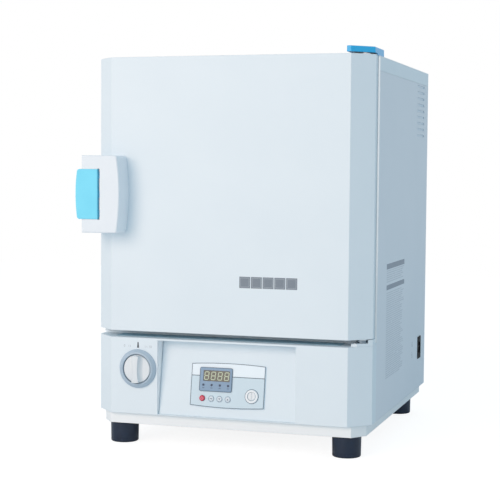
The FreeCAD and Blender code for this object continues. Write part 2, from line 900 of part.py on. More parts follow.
def make_damper_knob():
    """Low round cap with an upright finger grip, waisted in the middle."""
    cap = turned([(0, knob_lift), (knob_radius, knob_lift), (knob_radius, knob_face, knob_edge),
                  (0, knob_face)],
                 damper_x, 0, damper_z, Vector(0, -1, 0))
    sections = [grip_section(-knob_radius, knob_grip_end), grip_section(0, knob_grip_mid),
                grip_section(knob_radius, knob_grip_end)]
    grip = Part.makeLoft(sections, True)
    limit = rod(damper_x, -knob_grip_height - 1, damper_z, knob_radius - 0.8, knob_grip_height)
    bore = rod(damper_x, -knob_face + 1, damper_z, shaft_radius + fit_clearance, knob_face)
    return single(cap.fuse(grip.common(limit)).cut(bore).removeSplitter())


def make_damper_shaft():
    start = -knob_face + 1 + fit_clearance
    end = shutter_y + 6.0
    return rod(damper_x, start, damper_z, shaft_radius, end - start)


def vent_windows(y0, y1):
    """Two openings of a quarter turn each, left and right of the shaft."""
    ring = rod(damper_x, y0, damper_z, vent_outer, y1 - y0).cut(
        rod(damper_x, y0, damper_z, vent_inner, y1 - y0))
    reach = 2 * vent_outer
    wedge = front_prism([(damper_x, damper_z), (damper_x + reach, damper_z - reach),
                         (damper_x + reach, damper_z + reach)], y0, y1)
    right = ring.common(wedge)
    left = right.copy()
    left.rotate(Vector(damper_x, 0, damper_z), Vector(0, 1, 0), 180)
    return [right, left]


def make_damper_shutter():
    disc = rod(damper_x, shutter_y, damper_z, shutter_radius, frame_sheet)
    hole = rod(damper_x, shutter_y, damper_z, shaft_radius + fit_clearance, frame_sheet)
    windows = vent_windows(shutter_y, shutter_y + frame_sheet)
    for window in windows:
        window.rotate(Vector(damper_x, 0, damper_z), Vector(0, 1, 0), 90)
    return single(disc.cut([hole] + windows))


def duct_path():
    mouth_y = shutter_y + frame_sheet + shutter_gap + frame_sheet
    bend_y = duct_y - duct_bend
    bend_z = damper_z + duct_bend
    drop = duct_bend * math.sqrt(0.5)
    points = [Vector(damper_x, mouth_y, damper_z), Vector(damper_x, bend_y, damper_z),
              Vector(damper_x, bend_y + drop, bend_z - drop), Vector(damper_x, duct_y, bend_z),
              Vector(damper_x, duct_y, chamber_bottom - sheet)]
    return Part.Wire([Part.LineSegment(points[0], points[1]).toShape(),
                      Part.Arc(points[1], points[2], points[3]).toShape(),
                      Part.LineSegment(points[3], points[4]).toShape()])


def swept_rod(path, radius, start, direction):
    circle = Part.Wire([Part.makeCircle(radius, start, direction)])
    return path.makePipeShell([circle], True, False)


def make_intake_duct():
    """Elbow from the shutter's port plate up to the chamber's floor."""
    path = duct_path()
    start = Vector(damper_x, shutter_y + 2 * frame_sheet + shutter_gap, damper_z)
    outer = swept_rod(path, duct_outer, start, Vector(0, 1, 0))
    inner = swept_rod(path, duct_inner, start, Vector(0, 1, 0))
    port_y = shutter_y + frame_sheet + shutter_gap
    port = rod(damper_x, port_y, damper_z, port_radius, frame_sheet)
    hole = rod(damper_x, port_y, damper_z, shaft_radius + fit_clearance, frame_sheet)
    port = port.cut([hole] + vent_windows(port_y, port_y + frame_sheet))
    return single(port.fuse(outer.cut(inner)).removeSplitter())


# Breaker and cable gland

def breaker_pivot():
    return half - lever_depth, (breaker_z0 + breaker_z1) / 2


def make_breaker_body():
    rim_x = half
    bezel = side_prism(rect(breaker_y0, breaker_y1, breaker_z0, breaker_z1, breaker_corner),
                       rim_x, half + breaker_proud)
    rim = breaker_rim
    case = block(half - breaker_depth, rim_x, breaker_y0 + rim, breaker_y1 - rim,
                 breaker_z0 + rim, breaker_z1 - rim)
    middle_y = (breaker_y0 + breaker_y1) / 2
    pivot_x, pivot_z = breaker_pivot()
    play = lever_play
    well = side_prism(rect(middle_y - lever_width / 2 - play, middle_y + lever_width / 2 + play,
                           pivot_z - breaker_well_half, pivot_z + breaker_well_half, 1),
                      pivot_x - lever_radius - play, half + breaker_proud)
    return single(joined([bezel, case]).cut(well))


def make_breaker_lever():
    """Barrel across the well with a short toggle, tipped up."""
    middle_y = (breaker_y0 + breaker_y1) / 2
    pivot_x, pivot_z = breaker_pivot()
    barrel = rod(pivot_x, middle_y - lever_width / 2, pivot_z, lever_radius, lever_width)
    reach = lever_width / 2 - lever_shoulder
    toggle = block(pivot_x, pivot_x + lever_length, middle_y - reach, middle_y + reach,
                   pivot_z - lever_half_thickness, pivot_z + lever_half_thickness)
    lever = barrel.fuse(toggle).removeSplitter()
    lever.rotate(Vector(pivot_x, middle_y, pivot_z), Vector(0, 1, 0), -lever_tilt)
    return single(lever)


def make_power_gland():
    """Plastic gland through the rear cover, with its nut outside and locknut inside."""
    inside = body_rear - sheet
    nut_points = []
    for i in range(6):
        angle = math.radians(60 * i)
        nut_points.append((gland_x + gland_nut * math.cos(angle), gland_z + gland_nut * math.sin(angle)))
    nut = front_prism(nut_points, body_rear, body_rear + gland_nut_height)
    thread = rod(gland_x, inside - gland_thread_length, gland_z, gland_thread,
                 gland_thread_length + sheet + 1)
    locknut = rod(gland_x, inside - gland_locknut_height, gland_z, gland_nut - gland_dome_step,
                  gland_locknut_height)
    dome_radius = gland_nut - gland_dome_step
    dome_height = gland_length - gland_nut_height
    dome = turned([(0, 0), (dome_radius, 0), (dome_radius, 0.6 * dome_height),
                   (gland_bore + gland_dome_step, dome_height, gland_dome_step), (0, dome_height)],
                  gland_x, body_rear + gland_nut_height, gland_z, Vector(0, 1, 0))
    bore = rod(gland_x, inside - 2 * gland_thread_length, gland_z, gland_bore, 4 * gland_length)
    return single(joined([nut, thread, locknut, dome]).cut(bore))


# Chamber and what it holds

def chamber_block(wall, y0, y1):
    return front_prism(rect(-chamber_half - wall, chamber_half + wall, chamber_bottom - wall,
                            chamber_top + wall, chamber_corner + wall), y0, y1)


def heater_z():
    return chamber_bottom + heater_rise


def make_chamber():
    shell = chamber_block(sheet, seam_y, chamber_rear + sheet).cut(
        chamber_block(0, seam_y, chamber_rear))
    outer_leg = 3 * heater_bend
    cut = [rod(0, chamber_rear, exhaust_z, exhaust_inner, sheet),
           rod(probe_x, chamber_rear, probe_z, probe_radius + fit_clearance, sheet),
           rod(damper_x, duct_y, chamber_bottom - sheet, duct_inner, sheet, "z")]
    for x in (-outer_leg, outer_leg):
        cut.append(rod(x, chamber_rear, heater_z(), heater_radius + heater_hole_play, sheet))
    return single(shell.cut(cut))


def make_insulation():
    """Mineral wool round the chamber, bored for the pipes, leads and latch."""
    side = half - sheet - wool_front_gap
    front = seam_y + wool_front_gap
    wool = block(-side, side, front, insulation_rear, panel_top + sheet, body_top - sheet - wool_gap)
    outer_leg = 3 * heater_bend
    length = insulation_rear - chamber_rear
    reach = keeper_half_height - wool_front_gap
    cut = [chamber_block(frame_sheet, 0, front), chamber_block(sheet, 0, chamber_rear + sheet),
           rod(0, chamber_rear, exhaust_z, exhaust_outer + wool_gap, length),
           rod(probe_x, chamber_rear, probe_z, probe_flange + wool_gap, length),
           rod(damper_x, duct_y, 0, duct_outer + wool_gap, chamber_bottom, "z"),
           block(-half, latch_x + keeper_right_room + keeper_rim, 0, latch_rear_y + keeper_rim,
                 latch_z - reach, latch_z + reach),
           block(-half, half, 0, front + wool_gap, body_top - sheet - panel_flange - wool_gap, body_top)]
    slat_room = block(half - sheet - louvre_lean - wool_gap, half, louvre_y0 - louvre_end_room,
                      louvre_y1 + louvre_end_room, louvre_first_z - louvre_pitch, cover_z)
    cut += [slat_room, mirrored(slat_room)]
    for x in (-outer_leg, outer_leg):
        cut.append(rod(x, chamber_rear, heater_z(), heater_radius + heater_hole_play, length))
    return single(wool.cut(cut))


def make_divider_plate():
    """Sheet between the control section and the insulation."""
    side = half - sheet - seam
    plate = block(-side, side, seam_y + sheet + seam, body_rear - 2 * sheet - seam,
                  panel_top, panel_top + sheet)
    hole = rod(damper_x, duct_y, panel_top, duct_outer + wool_gap, sheet, "z")
    return single(plate.cut(hole))


def rail_outline():
    """Comb section of the left rail, as (x, z): a wall with ledges."""
    back = -chamber_half
    wall = back + sheet
    tip = wall + rail_ledge
    low = rail_first_ledge - rail_pitch / 3
    points = [(back, low), (wall, low)]
    for i in range(rail_count):
        z = rail_first_ledge + i * rail_pitch
        points += [(wall, z - sheet), (tip, z - sheet), (tip, z), (wall, z)]
    high = rail_first_ledge + (rail_count - 1) * rail_pitch + rail_pitch / 3
    return points + [(wall, high), (back, high)]


def make_shelf_rails():
    left = front_prism(rail_outline(), rail_front_y, rail_front_y + rail_length)
    return Part.makeCompound([left, mirrored(left)])


def make_shelf(ledge):
    """Wire shelf: a bent rod frame, two cross rods under it and a row of wires welded on top."""
    side = chamber_half - sheet - shelf_side_play - shelf_rod_radius
    front = rail_front_y - shelf_overhang + shelf_rod_radius
    rear = rail_front_y + rail_length + shelf_overhang - shelf_rod_radius
    length = rear - front
    z = rail_first_ledge + ledge * rail_pitch + shelf_lift + shelf_rod_radius
    path = rounded_wire(rect(-side, side, front, rear, shelf_corner), lambda p: Vector(p.x, p.y, z))
    middle = (front + rear) / 2
    circle = Part.Wire([Part.makeCircle(shelf_rod_radius, Vector(-side, middle, z), Vector(0, 1, 0))])
    edges = path.Edges
    straight = [edge for edge in edges if abs(edge.Vertexes[0].X + side) < 1e-6
                and abs(edge.Vertexes[1].X + side) < 1e-6][0]
    rest = [edge for edge in edges if not edge.isSame(straight)]
    ends = sorted([vertex.Point for vertex in straight.Vertexes], key=lambda p: p.y)
    halves = [Part.LineSegment(Vector(-side, middle, z), ends[0]).toShape(),
              Part.LineSegment(ends[1], Vector(-side, middle, z)).toShape()]
    loop = Part.Wire(Part.__sortEdges__([halves[0]] + rest + [halves[1]]))
    pieces = [loop.makePipeShell([circle], True, False)]
    wire_z = z + shelf_rod_radius + shelf_wire_radius - shelf_weld
    pitch = 2 * side / (shelf_wire_count + 1)
    for i in range(shelf_wire_count):
        x = -side + (i + 1) * pitch
        pieces.append(rod(x, front, wire_z, shelf_wire_radius, length))
    cross_z = wire_z - shelf_wire_radius - shelf_cross_radius + shelf_weld
    for y in (front + length / 3, front + 2 * length / 3):
        pieces.append(rod(-side, y, cross_z, shelf_cross_radius, 2 * side, "x"))
    return single(joined(pieces))


def make_floor_plate():
    """Punched plate over the heater, folded down at both sides."""
    top = floor_plate_top
    w = floor_plate_half
    plate = front_prism([(-w, chamber_bottom), (-w, top), (w, top), (w, chamber_bottom),
                         (w - sheet, chamber_bottom), (w - sheet, top - sheet),
                         (-w + sheet, top - sheet), (-w + sheet, chamber_bottom)],
                        floor_plate_front, floor_plate_rear)
    cut = []
    x_pitch = 2 * (w - floor_hole_edge) / (floor_hole_columns - 1)
    y_pitch = (floor_plate_rear - floor_plate_front - 2 * floor_hole_edge) / (floor_hole_rows - 1)
    for column in range(floor_hole_columns):
        for row in range(floor_hole_rows):
            x = floor_hole_edge - w + column * x_pitch
            y = floor_plate_front + floor_hole_edge + row * y_pitch
            cut.append(rod(x, y, top - sheet, floor_hole_radius, sheet, "z"))
    return single(plate.cut(cut))


def make_heater():
    """Sheathed heater bent into three hairpins, its two ends through the chamber's rear wall."""
    z = heater_z()
    r = heater_bend
    near = heater_front_y + r
    far = heater_rear_y - r

    def point(x, y):
        return Vector(x, y, z)
    path = Part.Wire([
        Part.LineSegment(point(-3 * r, heater_end_y), point(-3 * r, near)).toShape(),
        Part.Arc(point(-3 * r, near), point(-2 * r, near - r), point(-r, near)).toShape(),
        Part.LineSegment(point(-r, near), point(-r, far)).toShape(),
        Part.Arc(point(-r, far), point(0, far + r), point(r, far)).toShape(),
        Part.LineSegment(point(r, far), point(r, near)).toShape(),
        Part.Arc(point(r, near), point(2 * r, near - r), point(3 * r, near)).toShape(),
        Part.LineSegment(point(3 * r, near), point(3 * r, heater_end_y)).toShape()])
    return swept_rod(path, heater_radius, point(-3 * r, heater_end_y), Vector(0, -1, 0))


def make_temperature_probe():
    """Stem into the chamber, with a flange that seats on the rear wall's outside."""
    seat = chamber_rear + sheet
    return turned([(0, -probe_reach), (probe_radius, -probe_reach, probe_tip_round), (probe_radius, 0),
                   (probe_flange, 0), (probe_flange, probe_flange_height),
                   (probe_radius, probe_flange_height), (probe_radius, probe_tail), (0, probe_tail)],
                  probe_x, seat, probe_z, Vector(0, 1, 0))


def make_exhaust_pipe():
    start = chamber_rear + sheet
    pipe = rod(0, start, exhaust_z, exhaust_outer, rear_end - start)
    flange = rod(0, body_rear, exhaust_z, exhaust_flange, exhaust_flange_height)
    bore = rod(0, start, exhaust_z, exhaust_inner, rear_end - start)
    return single(pipe.fuse(flange).cut(bore))


# Hinges

def cap_outline(inset):
    """Plan outline of the hinge cap, which follows the door's chamfered corner."""
    edge = cap_inset + inset
    shift = edge * (math.sqrt(2) - 1)
    left = cap_left + inset
    return [(left, edge, cap_front_corner), (half - corner_chamfer - shift, edge),
            (half - edge, corner_chamfer + shift), (half - edge, cap_rear - inset, cap_rear_corner),
            (left, cap_rear - inset, cap_rear_corner)]


def make_hinge_cap():
    """Moulded cap: it stands on the cabinet's top and reaches over the door's corner."""
    outer = plan_prism(cap_outline(0), body_top, cap_top)
    top_edges = [edge for edge in outer.Edges
                 if all(abs(vertex.Z - cap_top) < 1e-6 for vertex in edge.Vertexes)]
    outer = outer.makeFillet(cap_front_corner, top_edges)
    inner = plan_prism(cap_outline(cap_wall), body_top, cap_top - cap_wall)
    over_door = block(0, half, 0, frame_y + cap_rest_gap, body_top, cap_z)
    return single(outer.cut([inner, over_door]))


def make_upper_hinge_bracket():
    """Plate over the door's corner with a pad that lifts it off the cabinet's top."""
    edge = cap_wall + bracket_gap
    plate = plan_prism(cap_outline(edge), cap_z, cap_z + bracket_plate)
    pad = block(cap_left + edge, cap_right - edge, frame_y + bracket_pad_gap, cap_rear - edge, body_top,
                cap_z)
    holes = [rod(hinge_x, hinge_y, cap_z, pin_radius, bracket_plate, "z")]
    for x, y in upper_screw_places():
        holes.append(rod(x, y, body_top, hinge_screw_radius + screw_play, cap_gap + bracket_plate, "z"))
    return single(joined([plate, pad]).cut(holes))


def upper_screw_places():
    return [(hinge_x - upper_screw_left, frame_y + upper_screw_front),
            (hinge_x + upper_screw_right, frame_y + upper_screw_rear)]


def make_hinge_pins():
    upper_start = body_top - bush_length + 2
    upper = rod(hinge_x, hinge_y, upper_start, pin_radius, cap_z + bracket_plate - upper_start, "z")
    lower_start = panel_top
    lower = rod(hinge_x, hinge_y, lower_start, pin_radius, door_gap + bush_length - 2, "z")
    return Part.makeCompound([upper, lower])


def make_bush(z, upwards):
    """Flanged bush in the door's skin: the flange lies outside."""
    way = Vector(0, 0, 1 if upwards else -1)
    bore = pin_radius + fit_clearance
    return turned([(bore, bush_seat - bush_length), (bush_radius, bush_seat - bush_length), (bush_radius, 0),
                   (bush_flange, 0), (bush_flange, bush_flange_height), (bore, bush_flange_height)],
                  hinge_x, hinge_y, z, way)


def make_hinge_bushes():
    return Part.makeCompound([make_bush(body_top, True), make_bush(door_z, False)])


def make_lower_hinge_bracket():
    """Cast bracket in the gap under the door: base, rear leg and a cheek flush with the corner."""
    low = panel_top
    high = low + hinge_block_height
    front = hinge_y - hinge_block_reach
    base_outline = [(hinge_block_left, front), (half - corner_chamfer + front, front),
                    (half, corner_chamfer), (half, frame_y), (hinge_block_left, frame_y)]
    base = plan_prism(base_outline, low, low + hinge_base)
    leg = block(hinge_block_left, half, frame_y - hinge_leg, frame_y, low, high)
    cheek_front = hinge_cheek_left - (half - corner_chamfer)
    cheek = plan_prism([(hinge_cheek_left, cheek_front), (half, corner_chamfer), (half, frame_y),
                        (hinge_cheek_left, frame_y)], low, high)
    holes = [rod(hinge_x, hinge_y, low, pin_radius, hinge_base, "z")]
    for x, y in lower_screw_places():
        holes.append(rod(x, y, low, hinge_block_screw_radius + screw_play, hinge_base, "z"))
    return single(joined([base, leg, cheek]).cut(holes))


def lower_screw_places():
    return [(hinge_block_left + 3.2, hinge_y - 8.0), (hinge_block_left + 3.2, hinge_y + 10.0)]


def make_hinge_washers():
    low = panel_top + hinge_base
    high = door_z - bush_flange_height - 0.1
    middle = (low + high) / 2
    washers = []
    for z0, z1 in ((low, middle), (middle, high)):
        ring = rod(hinge_x, hinge_y, z0, bush_flange - washer_step, z1 - z0, "z")
        washers.append(ring.cut(rod(hinge_x, hinge_y, z0, pin_radius + fit_clearance, z1 - z0, "z")))
    return Part.makeCompound(washers)


# Screws of the fixed parts

def screw(x, y, z, axis, shank_radius, head_radius, shank_length):
    """Pan-head screw: the head sits at the point and the shank runs back from it."""
    head_height = 0.6 * head_radius
    return turned([(0, -shank_length), (shank_radius, -shank_length), (shank_radius, 0), (head_radius, 0),
                   (head_radius, head_height, 0.35 * head_radius), (0, head_height)], x, y, z, axis)


def make_screws():
    down = Vector(0, 0, -1)
    up = Vector(0, 0, 1)
    group = []
    for x, y in foot_places().values():
        group.append(screw(x, y, foot_recess_depth, down, foot_screw_radius, foot_screw_head,
                           foot_height - foot_recess_depth + sheet + 2))
    for x, z in rear_screw_places():
        group.append(screw(x, body_rear, z, Vector(0, 1, 0), rear_screw_radius, rear_screw_head, sheet))
    for x, y in upper_screw_places():
        group.append(screw(x, y, cap_z + bracket_plate, up, hinge_screw_radius, hinge_screw_head,
                           cap_gap + bracket_plate))
    for x, y in lower_screw_places():
        group.append(screw(x, y, panel_top + hinge_base, up, hinge_block_screw_radius,
                           hinge_block_screw_head, hinge_base))
    return Part.makeCompound(group)


# Door

def latch_plan_slot(y0, y1, grow=0.0):
    reach = latch_slot_half_x + grow
    rise = latch_slot_half_z + grow
    return block(latch_x - reach, latch_x + reach, y0, y1, latch_z - rise, latch_z + rise)


def make_door_outer_panel():
    """Folded skin with chamfered edges, closed above and below and open behind."""
    outer = plan_prism(body_outline(0, door_depth), door_z, body_top)
    inner = plan_prism(body_outline(sheet, door_depth), door_z + sheet, body_top - sheet)
    cut = [inner, rod(hinge_x, hinge_y, body_top - sheet, bush_radius, sheet, "z"),
           rod(hinge_x, hinge_y, door_z, bush_radius, sheet, "z"),
           latch_plan_slot(0, latch_pivot_y)]
    return single(outer.cut(cut))


def plug_section(y, gap, corner):
    w = chamber_half - gap
    return rounded_wire(rect(-w, w, chamber_bottom + gap, chamber_top - gap, corner),
                        lambda p: Vector(p.x, y, p.y))


def plug_solid(shrink, y0, y1):
    """Tapered plug that enters the chamber's mouth."""
    near = plug_section(y0, plug_gap + shrink, plug_corner)
    far = plug_section(y1, plug_gap + plug_taper + shrink, plug_corner)
    return Part.makeLoft([near, far], True, True)


def make_door_inner_panel():
    """Steel lining with a pressed pan that plugs the chamber's mouth."""
    edge = half - sheet - seam
    plate = front_prism(rect(-edge, edge, door_z + sheet + seam, body_top - sheet - seam),
                        door_depth - sheet, door_depth)
    pan = plug_solid(0, door_depth - sheet, door_depth + plug_depth)
    hollow = plug_solid(sheet, door_depth - sheet, door_depth + plug_depth - sheet)
    return single(plate.fuse(pan).cut([hollow, latch_plan_slot(0, door_depth)]))


def latch_case_outline(inset):
    """Plan outline of the latch case, which follows the chamfer inside the skin."""
    left = latch_x - latch_slot_half_x - latch_case_wall_x + inset
    right = latch_x + latch_slot_half_x + latch_case_wall_x - inset
    skin = half - corner_chamfer - (sheet + seam) * math.sqrt(2)
    rear = door_depth - sheet - seam
    return [(right, -right - skin), (right, rear), (left, rear), (left, -left - skin)]


def make_latch_case():
    """Box behind the chamfer, open in front and behind, that holds the latch pin above and below."""
    reach = latch_slot_half_z + latch_case_wall_z
    outer = plan_prism(latch_case_outline(0), latch_z - reach, latch_z + reach)
    return single(outer.cut([latch_plan_slot(0, door_depth), make_latch_pin()]))


def make_latch_pin():
    reach = latch_slot_half_z + 0.75 * latch_case_wall_z
    return rod(latch_x, latch_pivot_y, latch_z - reach, latch_pin_radius, 2 * reach, "z")


def make_latch_lever():
    """Bar from the paddle's tail to the hook, with a barb behind the frame's keeper."""
    left = latch_x - latch_bar / 2
    right = latch_x + latch_bar / 2
    corners = [(left, latch_front_y, latch_nose_round), (right, latch_front_y, latch_nose_round),
               (right, latch_rear_y, latch_barb_round), (left - latch_barb, latch_rear_y, latch_barb_round),
               (left - latch_barb, latch_catch_y), (left, latch_catch_y)]
    low = latch_z - latch_thickness / 2
    boss_low = latch_z - latch_boss_height / 2
    bar = plan_prism(corners, low, low + latch_thickness)
    boss = rod(latch_x, latch_pivot_y, boss_low, latch_boss_radius, latch_boss_height, "z")
    bore = rod(latch_x, latch_pivot_y, boss_low, latch_pin_radius + fit_clearance, latch_boss_height, "z")
    return single(joined([bar, boss]).cut(bore))


def make_latch_keeper():
    """Plate behind the front frame's window: its left edge is the lip that the barb catches."""
    y0 = frame_y + frame_sheet
    right = latch_x + keeper_right_room
    plate = front_prism(rect(-half + frame_edge, right + keeper_rim, latch_z - keeper_half_height,
                             latch_z + keeper_half_height, keeper_thickness), y0, y0 + keeper_thickness)
    window = front_prism(rect(keeper_lip_x, right, latch_z - keeper_window_half,
                              latch_z + keeper_window_half, keeper_thickness), y0, y0 + keeper_thickness)
    return single(plate.cut(window))


def make_door_insulation():
    """Wool filling of the door and its plug, cut out for the latch case and hinge bushes."""
    inner = sheet + wool_gap
    fill = plan_prism(body_outline(inner, door_depth - inner), door_z + inner, body_top - inner)
    plug = plug_solid(inner, door_depth - inner, door_depth + plug_depth - inner)
    reach = latch_slot_half_z + latch_case_wall_z + wool_gap
    case_right = latch_x + latch_slot_half_x + latch_case_wall_x + wool_gap
    bush_left = hinge_x - bush_flange
    cut = [block(-half, case_right, 0, door_depth, latch_z - reach, latch_z + reach),
           block(bush_left, half, 0, door_depth, body_top - bush_length - wool_gap, body_top),
           block(bush_left, half, 0, door_depth, door_z, door_z + bush_length + wool_gap)]
    return single(fill.fuse(plug).cut(cut))


def gasket_block(grow, corner, y0, y1):
    edge = gasket_overlap + grow
    return front_prism(rect(-chamber_half - edge, chamber_half + edge, chamber_bottom - edge,
                            chamber_top + edge, corner), y0, y1)


def make_door_gasket():
    """Silicone ring between the door and the frame, rounded where it presses."""
    rear = frame_y - gasket_clearance
    ring = gasket_block(gasket_width, gasket_corner + gasket_width / 2, door_depth, rear)
    ring = ring.cut(gasket_block(0, gasket_corner, door_depth, rear))
    pressed = [edge for edge in ring.Edges
               if all(abs(vertex.Y - rear) < 1e-6 for vertex in edge.Vertexes)]
    return single(ring.makeFillet(gasket_rounding, pressed))


# Handle

def handle_face(y):
    """Front outline of the housing: square at the left, bowed at the right."""
    def point(x, z):
        return Vector(x, y, z)
    corners = [point(handle_left, handle_bottom), point(handle_right, handle_bottom),
               point(handle_right, handle_top), point(handle_left, handle_top)]
    bow = Part.Arc(corners[1], point(handle_bulge, latch_z), corners[2]).toShape()
    edges = [Part.LineSegment(corners[0], corners[1]).toShape(), bow,
             Part.LineSegment(corners[2], corners[3]).toShape(),
             Part.LineSegment(corners[3], corners[0]).toShape()]
    return Part.Face(Part.Wire(edges))


def make_handle_housing():
    """Moulded shell, rounded at the right, with a finger pocket open to the left and the paddle's notch."""
    depth = handle_rear_end - handle_front
    shell = handle_face(handle_front).extrude(Vector(0, depth, 0))
    corner_edges = [edge for edge in shell.Edges
                    if edge.BoundBox.YLength > depth / 2 and edge.BoundBox.XMin > handle_right - seam]
    shell = shell.makeFillet(handle_corner, corner_edges)
    front_edges = [edge for edge in shell.Edges
                   if all(abs(vertex.Y - handle_front) < 1e-6 for vertex in edge.Vertexes)]
    shell = shell.makeFillet(handle_edge, front_edges)
    wall = handle_wall
    pocket = block(handle_left, handle_right - wall, handle_front + wall, handle_rear_end,
                   handle_bottom + wall, handle_top - wall)
    notch = block(handle_left, notch_right, handle_front, handle_front + wall,
                  paddle_bottom - paddle_end_gap, paddle_top + paddle_end_gap)
    door = plan_prism(body_outline(0, door_depth), door_z, body_top)
    return single(shell.cut([pocket, notch, door, make_paddle_pin()]))


def make_paddle_pin():
    low = handle_bottom + handle_wall / 2
    high = handle_top - handle_wall / 2
    return rod(paddle_pin_x, paddle_pin_y, low, paddle_pin_radius, high - low, "z")


def paddle_face(y):
    """Front outline of the paddle: straight at its pin, rounded and bowed at its free edge."""
    def point(x, z):
        return Vector(x, y, z)
    shoulder = paddle_left + paddle_bow
    r = paddle_corner
    lean = r * (1 - math.sqrt(0.5))
    right_low = point(paddle_right, paddle_bottom)
    right_high = point(paddle_right, paddle_top)
    low_a = point(shoulder + r, paddle_bottom)
    low_b = point(shoulder, paddle_bottom + r)
    high_a = point(shoulder + r, paddle_top)
    high_b = point(shoulder, paddle_top - r)
    edges = [Part.LineSegment(right_low, right_high).toShape(),
             Part.LineSegment(right_high, high_a).toShape(),
             Part.Arc(high_a, point(shoulder + lean, paddle_top - lean), high_b).toShape(),
             Part.Arc(high_b, point(paddle_left, latch_z), low_b).toShape(),
             Part.Arc(low_b, point(shoulder + lean, paddle_bottom + lean), low_a).toShape(),
             Part.LineSegment(low_a, right_low).toShape()]
    return Part.Face(Part.Wire(edges))


def make_release_paddle():
    """Blade in the housing's notch, with a finger lip, three knuckles and a tail to the latch."""
    front = handle_front - paddle_proud
    back = front + paddle_thickness
    outline = paddle_face(front).extrude(Vector(0, paddle_thickness + paddle_lip_depth, 0))
    front_edges = [edge for edge in outline.Edges
                   if all(abs(vertex.Y - front) < 1e-6 for vertex in edge.Vertexes)]
    outline = outline.makeFillet(paddle_edge, front_edges)
    behind = block(paddle_left + paddle_lip, paddle_right, back, back + paddle_lip_depth, paddle_bottom,
                   paddle_top)
    pieces = [outline.cut(behind)]
    starts = [paddle_bottom + knuckle_inset, latch_z - knuckle_height / 2,
              paddle_top - knuckle_inset - knuckle_height]
    for z in starts:
        pieces.append(rod(paddle_pin_x, paddle_pin_y, z, knuckle_radius, knuckle_height, "z"))
        pieces.append(block(paddle_pin_x - knuckle_radius, paddle_right, back, paddle_pin_y,
                            z, z + knuckle_height))
    tail_left = latch_x + latch_bar / 2 + tail_gap
    pieces.append(block(tail_left, tail_left + tail_thickness, paddle_pin_y, tail_end_y,
                        latch_z - knuckle_height / 2, latch_z + knuckle_height / 2))
    bore = rod(paddle_pin_x, paddle_pin_y, paddle_bottom, paddle_pin_radius + fit_clearance,
               paddle_height, "z")
    return single(joined(pieces).cut(bore))


def make_parts():
    parts = {
        "base_tray": make_base_tray(),
        "side_panel_right": make_side_panel_right(),
        "side_panel_left": make_side_panel_left(),
        "top_cover": make_top_cover(),
        "rear_cover": make_rear_cover(),
        "front_frame": make_front_frame(),
        "control_fascia": make_control_fascia(),
        "control_recess": make_control_recess(),
        "control_plate": make_control_plate(),
        "display_bezel": make_display_bezel(),
        "display_window": make_display_window(),
        "indicator_lamps": make_indicator_lamps(),
        "power_button": make_push_button(button_x, button_radius, button_rise),
        "setting_dial": make_setting_dial(),
        "control_board": make_control_board(),
        "relay_module": make_relay_module(),
        "knob_bezel": make_knob_bezel(),
        "damper_knob": make_damper_knob(),
        "damper_shaft": make_damper_shaft(),
        "damper_shutter": make_damper_shutter(),
        "intake_duct": make_intake_duct(),
        "breaker_body": make_breaker_body(),
        "breaker_lever": make_breaker_lever(),
        "power_gland": make_power_gland(),
        "chamber": make_chamber(),
        "insulation": make_insulation(),
        "divider_plate": make_divider_plate(),
        "shelf_rails": make_shelf_rails(),
        "floor_plate": make_floor_plate(),
        "heater": make_heater(),
        "temperature_probe": make_temperature_probe(),
        "exhaust_pipe": make_exhaust_pipe(),
        "hinge_cap": make_hinge_cap(),
        "upper_hinge_bracket": make_upper_hinge_bracket(),
        "lower_hinge_bracket": make_lower_hinge_bracket(),
        "hinge_pins": make_hinge_pins(),
        "hinge_washers": make_hinge_washers(),
        "screws": make_screws(),
        "latch_keeper": make_latch_keeper(),
        "door_outer_panel": make_door_outer_panel(),
        "door_inner_panel": make_door_inner_panel(),
        "door_insulation": make_door_insulation(),
        "door_gasket": make_door_gasket(),
        "hinge_bushes": make_hinge_bushes(),
        "handle_housing": make_handle_housing(),
        "release_paddle": make_release_paddle(),
        "paddle_pin": make_paddle_pin(),
        "latch_case": make_latch_case(),
        "latch_pin": make_latch_pin(),
        "latch_lever": make_latch_lever(),
    }
    for name, (x, y) in foot_places().items():
        parts[name] = make_foot(x, y)
    for name, ledge in shelf_ledges.items():
        parts[name] = make_shelf(ledge)
    for name, x in key_places().items():
        parts[name] = make_push_button(x, key_radius, key_rise)
    return parts


def write_parts():
    os.makedirs("parts", exist_ok=True)
    middle = Vector(-outline_middle_x, -outline_middle_y, 0)
    for name, shape in make_parts().items():
        placed = shape.copy()
        placed.translate(middle)
        placed.exportStep(os.path.join("parts", name + ".step"))
        print(name, len(shape.Solids), "solids", shape.isValid(), round(shape.Volume / 1000, 1), "cm3")


write_parts()
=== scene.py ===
import math

import bmesh
import bpy
import numpy as np
from bpy.props import FloatProperty, FloatVectorProperty, IntProperty, PointerProperty
from mathutils import Matrix, Vector


